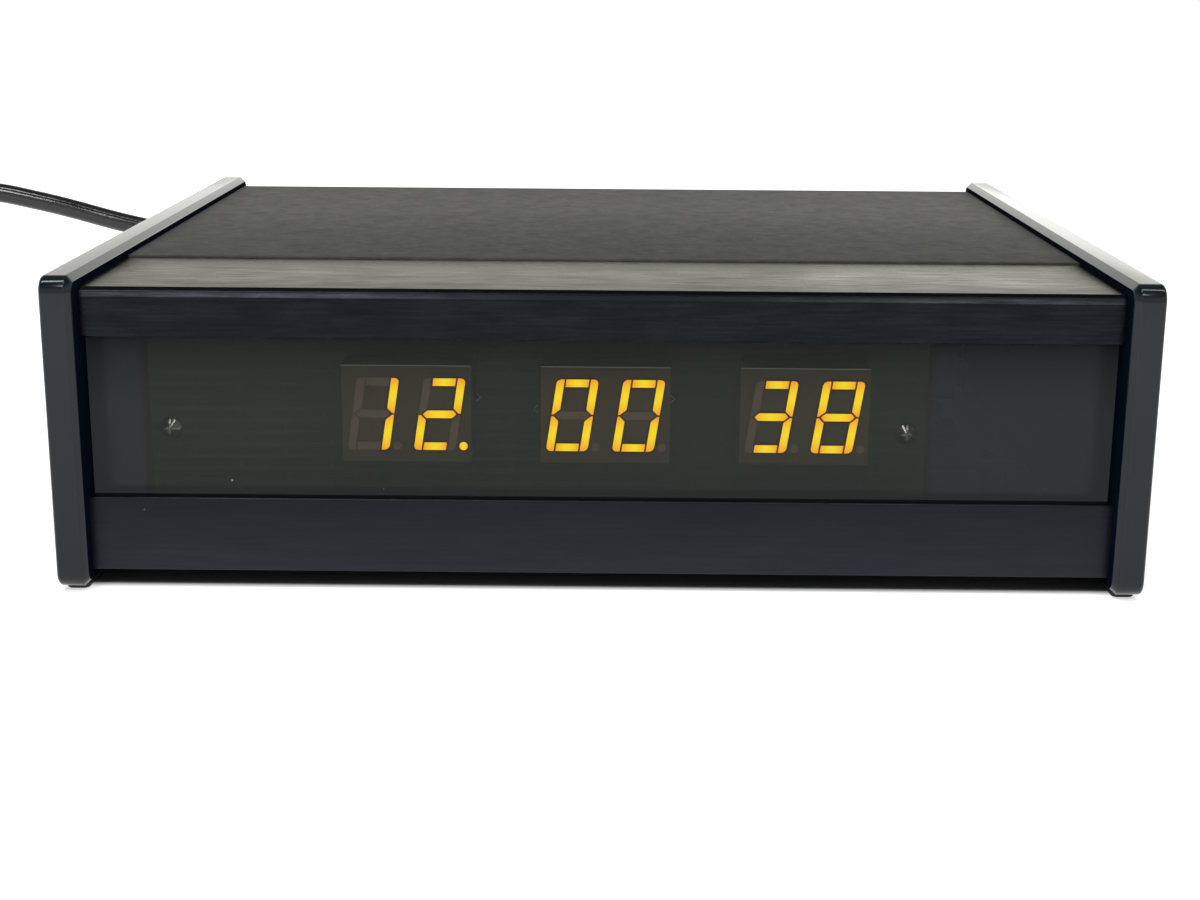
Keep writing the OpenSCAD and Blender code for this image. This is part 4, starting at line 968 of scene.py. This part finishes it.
def make_tie(material):
    reach = CORD_D / 2 + TIE_GAP
    low = (COIL_R - COIL_STEP * LAYER_TURNS - reach, COIL_Z_LOW - reach)
    high = (COIL_R + reach, COIL_Z_HIGH + reach)
    inner = round_rect(low, high, reach)
    outer = round_rect([v - TIE_T for v in low], [v + TIE_T for v in high], reach + TIE_T)
    turn = Matrix.Translation((*COIL_AT, 0.0)) @ Matrix.Rotation(math.radians(TIE_ANGLE), 4, "Z")
    half = TIE_W / 2
    flat = half - TIE_EDGE
    middle = [(a + b) / 2 for a, b in zip(inner, outer)]
    bands = ((outer, -flat), (middle, -half), (inner, -flat), (inner, flat), (middle, half), (outer, flat))
    bm = bmesh.new()
    rings = [ring(bm, [turn @ Vector((p[0], t, p[1])) for p in outline]) for outline, t in bands]
    for a, b in zip(rings, rings[1:] + rings[:1]):
        bridge(bm, a, b)
    head_low = (high[0] - TIE_HEAD_IN - TIE_HEAD[0], -TIE_HEAD[1] / 2, high[1] - TIE_EDGE)
    head_high = (high[0] - TIE_HEAD_IN, TIE_HEAD[1] / 2, high[1] + TIE_HEAD[2])
    before = set(bm.verts)
    soft_block(bm, head_low, head_high, TIE_HEAD_EDGE)
    bmesh.ops.transform(bm, matrix=turn, verts=[v for v in bm.verts if v not in before])
    return dress(make_object("cord_tie_strap", bm), material, "tie_black", "cord_tie")


def plug_section(y, half_w, half_h, square):
    """Rounded section of the plug: a circle where square is 2, a soft rectangle where it is more."""
    points = []
    for a in round_angles(PLUG_SIDES):
        c, s = math.cos(a), math.sin(a)
        x = half_w * math.copysign(abs(c) ** (2 / square), c)
        z = half_h * math.copysign(abs(s) ** (2 / square), s)
        points.append((TAIL_AT[0] + x, y, PLUG_Z + z))
    return points


def make_plug(material):
    back = TAIL_AT[1] - TAIL_RUN
    rib_rows = 4 * PLUG_RIBS
    sections = []
    for i in range(rib_rows):
        s = i / rib_rows
        r = RELIEF_TIP_R + PLUG_FLARE * s - (PLUG_RIB_D if i % 4 in (1, 2) else 0.0)
        sections.append(plug_section(back - PLUG_TAIL_L * s, r, r, 2.0))
    body = back - PLUG_TAIL_L
    for i in range(PLUG_STEPS + 1):
        s = eased(i / PLUG_STEPS)
        half_w = PLUG_NECK + (PLUG_W / 2 - PLUG_NECK) * s
        half_h = PLUG_NECK + (PLUG_Z - PLUG_NECK) * s
        square = PLUG_ROUND + (PLUG_FULL - PLUG_ROUND) * s
        sections.append(plug_section(body - PLUG_SLOPE_L * i / PLUG_STEPS, half_w, half_h, square))
    for place, pinch in PLUG_GRIP:
        y = body - PLUG_BODY_L * place
        sections.append(plug_section(y, PLUG_W / 2 - pinch, PLUG_Z - 0.6 * pinch, PLUG_FULL))
    front = body - PLUG_BODY_L
    for y, inset in ((front + 0.5, 0.2), (front, 1.0)):
        sections.append(plug_section(y, PLUG_W / 2 - inset, PLUG_Z - inset, PLUG_FULL))
    bm = bmesh.new()
    loft(bm, sections)
    return dress(make_object("plug_moulding", bm), material, "cord_black", "plug_body")


def sort_by_place(bm):
    """Gives points and faces a fixed order, because a bevel's own order can change from run to run."""
    bm.verts.sort(key=lambda v: v.co.dot(SORT_WAY))
    bm.faces.sort(key=lambda f: f.calc_center_median().dot(SORT_WAY))


def make_pins(material):
    front = TAIL_AT[1] - TAIL_RUN - PLUG_TAIL_L - PLUG_BODY_L
    bm = bmesh.new()
    for side in (-1, 1):
        x = TAIL_AT[0] + side * BLADE_X
        low = (x - BLADE[0] / 2, front - BLADE[1], BLADE_Z - BLADE[2] / 2)
        high = (x + BLADE[0] / 2, front + PIN_SINK, BLADE_Z + BLADE[2] / 2)
        soft_block(bm, low, high, BLADE_EDGE, 3)
    tip = [(front + PIN_SINK, EARTH_R), (front - EARTH_L + EARTH_R, EARTH_R)]
    for i in range(1, 6):
        a = math.radians(15 * i)
        tip.append((front - EARTH_L + EARTH_R * (1 - math.sin(a)), EARTH_R * math.cos(a)))
    tip.append((front - EARTH_L, EARTH_TIP_R))
    turned_y(bm, TAIL_AT[0], EARTH_Z, tip, 32)
    sort_by_place(bm)
    return dress(make_object("plug_contacts", bm), material, "pin_brass", "plug_pins")


# Case


def side_screw_places():
    """Y and Z of the screws that go through a side plate."""
    trim = extent("front_trim")
    sill = extent("lower_front_panel")
    upper = extent("rear_rail_top")
    lower = extent("rear_rail_bottom")
    places = [(trim[0].y + BOSS_AT[0], trim[1].z + BOSS_AT[1])]
    places.append((sill[0].y + RIB_BACK / 2, sill[0].z + (SILL_LIP - LENS_BITE) / 2))
    for low, high in (lower, upper):
        places.append(((low.y + high.y) / 2, (low.z + high.z) / 2))
    return places


def plate_hole(side, outer, inner, y, z):
    """Countersunk screw hole, as a solid to take out of a side plate."""
    sink = HEAD_R - SCREW_R
    profile = [(outer + side * PAST, HEAD_R + FIT), (outer, HEAD_R + FIT)]
    profile += [(outer - side * (sink + FIT), SCREW_R + FIT), (inner - side * PAST, SCREW_R + FIT)]
    bm = bmesh.new()
    turned_x(bm, y, z, profile)
    return make_object("plate_hole", bm)


def plate_groove(side, inner, node):
    """Groove for the edge of a cover or of the rear panel."""
    low, high = extent(node)
    reach = low.x - FIT if side < 0 else high.x + FIT
    xs = sorted((reach, inner - side * PAST))
    bm = bmesh.new()
    soft_block(bm, (xs[0], low.y - FIT, low.z - FIT), (xs[1], high.y + FIT, high.z + FIT), 0.05, 1)
    return make_object("plate_groove", bm)


def make_side_plate(node, side, material, inside):
    low, high = extent(node)
    outer = low.x if side < 0 else high.x
    inner = high.x if side < 0 else low.x
    rows = []
    for i in range(EDGE_STEPS + 1):
        t = math.pi / 2 * i / EDGE_STEPS
        rows.append((outer - side * PLATE_EDGE * (1 - math.cos(t)), PLATE_EDGE * (1 - math.sin(t))))
    wide, narrow = PLATE_BEVEL + BEVEL_SOFT, PLATE_BEVEL - BEVEL_SOFT
    rows += [(inner + side * wide, 0.0), (inner + side * narrow, BEVEL_SOFT)]
    rows += [(inner + side * BEVEL_SOFT, narrow), (inner, wide)]
    sections = []
    for x, inset in rows:
        near, far = (low.y + inset, low.z + inset), (high.y - inset, high.z - inset)
        outline = round_rect(near, far, PLATE_R - inset)
        sections.append([(x, p[0], p[1]) for p in outline])
    bm = bmesh.new()
    loft(bm, sections)
    plate = make_object(node + "_shell", bm)
    for y, z in side_screw_places():
        carve(plate, plate_hole(side, outer, inner, y, z))
    for cover in ("top_cover", "bottom_cover", "rear_panel"):
        carve(plate, plate_groove(side, inner, cover))
    dress(plate, material, "plate_black", node, angle=25.0)
    plate.data.materials.append(inside)
    # Inner faces take the painted-shade copy of the plate's black.
    for face in plate.data.polygons:
        face.material_index = 1 if side * face.normal.x < -FACING else 0


def make_front_trim(material):
    low, high = extent("front_trim")
    y, z = low.y, high.z
    profile = [
        (0, -TRIM_LIP, EDGE_ROUND), (LIP_WALL, -TRIM_LIP, EDGE_ROUND), (LIP_WALL, -WEB_T, 0),
        (SLOT_BACK, -WEB_T, 0), (SLOT_BACK, RIB_STEP - TRIM_LIP, 0), (RIB_BACK, RIB_STEP - TRIM_LIP, 0),
        (RIB_BACK, -WEB_T, 0), (BAND_D + TONGUE_L, -WEB_T, 0), (BAND_D + TONGUE_L, -SKIN_T - FIT, 0),
        (BAND_D, -SKIN_T - FIT, 0), (BAND_D, 0, SEAM_ROUND), (TRIM_BEVEL, 0, EDGE_ROUND),
        (BEVEL_CROWN * TRIM_BEVEL, -BEVEL_CROWN * TRIM_BEVEL, 1.0), (0, -TRIM_BEVEL, EDGE_ROUND)]
    outline = rounded([(y + a, z + b, r) for a, b, r in profile])
    bm = bmesh.new()
    pushed_x(bm, outline, low.x, high.x)
    boss = [(low.x, BOSS_R - BOSS_EDGE), (low.x + BOSS_EDGE, BOSS_R)]
    boss += [(high.x - BOSS_EDGE, BOSS_R), (high.x, BOSS_R - BOSS_EDGE)]
    turned_x(bm, y + BOSS_AT[0], z + BOSS_AT[1], boss)
    return dress(make_object("front_trim_band", bm), material, "trim_brushed", "front_trim")


def make_lower_panel(material):
    low, high = extent("lower_front_panel")
    y, z = low.y, low.z
    profile = [
        (0, 0, BEVEL_ROUND), (BAND_D, 0, SEAM_ROUND), (BAND_D, SKIN_T + FIT, 0),
        (BAND_D + TONGUE_L, SKIN_T + FIT, 0), (BAND_D + TONGUE_L, WEB_T, 0), (RIB_BACK, WEB_T, 0),
        (RIB_BACK, SILL_LIP - RIB_STEP, 0), (SLOT_BACK, SILL_LIP - RIB_STEP, 0),
        (SLOT_BACK, SILL_LIP - LENS_BITE, 0), (LIP_WALL, SILL_LIP - LENS_BITE, 0),
        (LIP_WALL, SILL_LIP, EDGE_ROUND), (0, SILL_LIP, BEVEL_ROUND)]
    outline = rounded([(y + a, z + b, r) for a, b, r in profile])
    bm = bmesh.new()
    pushed_x(bm, outline, low.x, high.x)
    return dress(make_object("lower_panel_front", bm), material, "trim_brushed", "lower_front_panel")


def make_soft_copy(name, node, r, material, slot):
    """Block of a node's own size with rounded edges."""
    low, high = extent(node)
    bm = bmesh.new()
    soft_block(bm, low, high, r, 3)
    return dress(make_object(name, bm), material, slot, node)


def make_top_cover(material):
    """Top sheet: its edges sit in the plates' grooves, and its field stands a little proud of the trim."""
    low, high = extent("top_cover")
    left = extent("side_plate_left")[1].x + FIT
    right = extent("side_plate_right")[0].x - FIT
    bm = bmesh.new()
    soft_block(bm, low, high, SHEET_EDGE, 3)
    soft_block(bm, (left, low.y, low.z), (right, high.y, high.z + COVER_RISE), FIELD_EDGE, 2)
    return dress(make_object("top_cover_sheet", bm), material, "cover_brushed", "top_cover")


def make_window(face, back):
    """Pane whose front face carries the smoke and whose other faces are nearly clear."""
    pane = make_soft_copy("window_pane", "window", PANE_EDGE, face, "smoked_window")
    pane.data.materials.append(back)
    for side in pane.data.polygons:
        side.material_index = 0 if side.normal.y < -FACING else 1


def make_feet(material):
    low, high = extent("feet")
    wide, deep = FOOT_SIZE
    levels = ((low.z, FOOT_EDGE), (low.z + FOOT_EDGE, 0.0), (high.z, 0.0))
    bm = bmesh.new()
    for x in (low.x, high.x - wide):
        for y in (low.y, high.y - deep):
            sections = []
            for z, i in levels:
                outline = round_rect((x + i, y + i), (x + wide - i, y + deep - i), FOOT_R - i)
                sections.append([(p[0], p[1], z) for p in outline])
            loft(bm, sections)
    return dress(make_object("foot_pads", bm), material, "foot_rubber", "feet")


# Digits


def corner_arc(cx, cy):
    steps = [math.radians(15 * i) for i in range(7)]
    return [(cx + CORNER_R * math.cos(a), cy + CORNER_R * math.sin(a)) for a in steps]


def upright():
    """Upper right upright: a round outer corner and a slanted lower end."""
    right, top, low = DIGIT_W / 2, DIGIT_H / 2, SEGMENT_GAP / 2
    left = right - STROKE_W
    points = [(left, low + STROKE_W / 2 + SEGMENT_GAP), (right - STROKE_W * 0.3, low), (right, low)]
    return points + corner_arc(right - CORNER_R, top - CORNER_R) + [(left, top)]


def crossbar():
    x, top = DIGIT_W / 2 - STROKE_W - SEGMENT_GAP, DIGIT_H / 2
    return [(-x, top - STROKE_W), (x, top - STROKE_W), (x, top), (-x, top)]


def middle_bar():
    x, y = DIGIT_W / 2 - STROKE_W * 0.3 - SEGMENT_GAP * 1.2, STROKE_W / 2
    return [(-x, 0), (y - x, -y), (x - y, -y), (x, 0), (x - y, y), (y - x, y)]


def point_outline():
    x = DIGIT_W / 2 + POINT_OFFSET - LEAN * DIGIT_H / 2
    z = (POINT_D - DIGIT_H) / 2
    r = POINT_D / 2
    return [(x + r * math.cos(a), z + r * math.sin(a)) for a in round_angles(POINT_SIDES)]


def segment_outline(name):
    """Outline of one segment about the digit's middle, and the way it runs: 0 along X, 1 along Z."""
    if name == "p":
        return point_outline(), 0
    shapes = {"a": (crossbar, 1, 1), "d": (crossbar, 1, -1), "b": (upright, 1, 1), "c": (upright, 1, -1)}
    shapes.update({"e": (upright, -1, -1), "f": (upright, -1, 1), "g": (middle_bar, 1, 1)})
    shape, fx, fz = shapes[name]
    points = [(fx * x + LEAN * fz * z, fz * z) for x, z in shape()]
    if fx * fz < 0:
        points.reverse()
    return points, 0 if name in "adg" else 1


def inset_outline(points, d):
    """Outline moved inwards by d. The points run anticlockwise."""
    moved = []
    for i, here in enumerate(points):
        here = Vector(here)
        a = (here - Vector(points[i - 1])).normalized()
        b = (Vector(points[(i + 1) % len(points)]) - here).normalized()
        na, nb = Vector((-a.y, a.x)), Vector((-b.y, b.x))
        moved.append(here + (na + nb) * d / (1 + na.dot(nb)))
    return moved


def add_segment(bm, core, along, points, run, at):
    """One segment on its module's face: dark walls and surround, then the rim and core of the glow."""
    ends = [p[run] for p in points]
    middle, half = (max(ends) + min(ends)) / 2, (max(ends) - min(ends)) / 2
    outer = inset_outline(points, -SURROUND_OUT)
    rim = inset_outline(points, SURROUND_IN)
    rows = ((outer, 0.0, 0.0), (outer, SEGMENT_T, 0.0), (rim, SEGMENT_T, 0.0))
    rows += ((inset_outline(points, SURROUND_IN + RIM_W), SEGMENT_T, 1.0),)
    rings = []
    for outline, forward, share in rows:
        made = ring(bm, [(at[0] + p[0], at[1] - forward, at[2] + p[1]) for p in outline])
        for vert, p in zip(made, outline):
            vert[core] = share
            vert[along] = (p[run] - middle) / half
        rings.append(made)
    bridge(bm, rings[2], rings[3])
    bm.faces.new(rings[3])
    dark = set(bm.faces)
    bridge(bm, rings[0], rings[1])
    bridge(bm, rings[1], rings[2])
    bm.faces.new(rings[0])
    for face in bm.faces:
        if face not in dark:
            face.material_index = 1


def make_segments(name, node, lit, material, surround, slot):
    bm = bmesh.new()
    core = bm.verts.layers.float.new("core")
    along = bm.verts.layers.float.new("along")
    for m, module in enumerate(DIGIT_MODULES):
        low, high = extent(module)
        for k in (0, 1):
            x = (low.x + high.x) / 2 + (k - 0.5) * DIGIT_PITCH
            at = (x, low.y, (low.z + high.z) / 2)
            shown = LIT_NAMES[SHOWN[m][k]] + ("p" if 2 * m + k == POINT_AFTER else "")
            for segment in SEGMENT_NAMES:
                if (segment in shown) == lit:
                    points, run = segment_outline(segment)
                    add_segment(bm, core, along, points, run, at)
    piece = dress(make_object(name, bm), material, slot, node)
    piece.data.materials.append(surround)
    return piece


def make_display_screws(material):
    """Screws with a raised head and a cross recess, which hold the display board."""
    low, high = extent("display_screws")
    board = extent("display_board")[0].y
    z = (low.z + high.z) / 2
    slope = board - HEAD_RIM - HEAD_LIFT
    for name, x in (("left", low.x + DISPLAY_HEAD_R), ("right", high.x - DISPLAY_HEAD_R)):
        profile = [(high.y, SCREW_R - THREAD_CUT), (high.y - THREAD_CUT, SCREW_R), (board, SCREW_R)]
        profile += [(board, DISPLAY_HEAD_R), (board - HEAD_RIM, DISPLAY_HEAD_R)]
        profile += [(slope - HEAD_SLOPE * d, DISPLAY_HEAD_R - HEAD_INSET - d) for d in HEAD_STEPS]
        profile += [(low.y, r) for r in HEAD_TOP]
        bm = bmesh.new()
        turned_y(bm, x, z, profile)
        screw = make_object("display_screw_" + name, bm)
        for a, b in (RECESS, RECESS[::-1]):
            bm = bmesh.new()
            soft_block(bm, (x - a, low.y - PAST, z - b), (x + a, low.y + RECESS_D, z + b), RECESS_EDGE, 1)
            carve(screw, make_object("recess", bm))
        dress(screw, material, "plated_steel", "display_screws")


def make_board_marks(material):
    """Small arrow heads printed on the display board beside the modules."""
    board = extent("display_board")[0].y
    middle = extent("module_minutes")
    centre_z = (middle[0].z + middle[1].z) / 2
    bm = bmesh.new()
    for x, rise, way in BOARD_MARKS:
        tip = Vector((x + way * MARK_W / 2, centre_z + rise))
        for up in (-1, 1):
            end = tip + Vector((-way * MARK_W, up * MARK_H / 2))
            side = (end - tip).orthogonal().normalized() * MARK_LINE / 2
            outline = (tip + side, end + side, end - side, tip - side)
            loft(bm, [[(q.x, board - t, q.y) for q in outline] for t in (0.0, MARK_T)])
    return dress(make_object("board_marks", bm), material, "insulator_white")


# Pieces that keep their CAD shape


def paint(material, *nodes):
    for node in nodes:
        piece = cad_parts[node]
        piece.data.materials.clear()
        piece.data.materials.append(material)


def paint_kept_pieces():
    for name, colour, roughness, metallic, *nodes in KEPT_FINISHES:
        paint(coated(name, colour, roughness, metallic), *nodes)
    paint(coated("rear_black", (0.022, 0.022, 0.024), 0.42, grain=1800.0, depth=0.00003), "rear_panel")
    screw = coated("screw_black", (0.03, 0.03, 0.033), 0.35, 0.6, worn=(0.4, 0.4, 0.4))
    paint(screw, "side_screws_left", "side_screws_right", "rear_panel_screws")
    paint(board_green(), "display_board", "main_board")


def make_case():
    plate = plate_black()
    inside = plate_shaded_inside()
    make_side_plate("side_plate_left", -1, plate, inside)
    make_side_plate("side_plate_right", 1, plate, inside)
    make_front_trim(brushed("trim_brushed", TRIM_TONES, 80.0, 2200.0, 0.3, 0.26))
    sill = extent("lower_front_panel")[0].z
    # Heights over which painted shade darkens the lower panel
    painted_shade_span = (sill, sill + 2 * SILL_LIP)
    make_lower_panel(brushed("panel_brushed", PANEL_TONES, 60.0, 2600.0, 0.38, 0.05, painted_shade_span=painted_shade_span))
    cover = brushed("cover_brushed", COVER_TONES, 260.0, 1500.0, 0.62, 0.1, 0.5)
    make_top_cover(cover)
    make_soft_copy("bottom_cover_sheet", "bottom_cover", SHEET_EDGE, cover, "cover_brushed")
    make_window(smoked_window(), window_back())
    make_feet(coated("foot_rubber", (0.015, 0.015, 0.015), 0.7, depth=0.00004))


def make_display():
    face = module_face()
    for node in DIGIT_MODULES:
        make_soft_copy(node + "_block", node, MODULE_EDGE, face, "module_face")
    surround = coated("segment_surround", (0.012, 0.01, 0.008), 0.7)
    make_segments("digits_lit", "lit_segments", True, segment_lit(), surround, "segment_lit")
    make_segments("digits_unlit", "unlit_segments", False, segment_unlit(), face, "segment_unlit")
    make_display_screws(coated("display_screw_steel", (0.82, 0.79, 0.73), 0.1, 1.0, depth=GRAIN_ON_SCREW))
    make_board_marks(coated("mark_white", (0.75, 0.75, 0.72), 0.5))


def make_mains_lead():
    jacket = lead_black()
    lead = make_lead(jacket)
    moulding = coated("relief_black", (0.012, 0.012, 0.013), 0.4, grain=1600.0, depth=0.00002)
    relief = make_strain_relief(moulding)
    tie = make_tie(coated("tie_black", (0.01, 0.01, 0.01), 0.35))
    plug = make_plug(jacket)
    pins = make_pins(coated("pin_brass", (0.62, 0.5, 0.27), 0.28, 1.0))


bpy.context.scene.view_settings.view_transform = "Standard"
make_camera()
make_mains_lead()
make_world()
make_lights()
make_floor()
make_case()
make_display()
paint_kept_pieces()
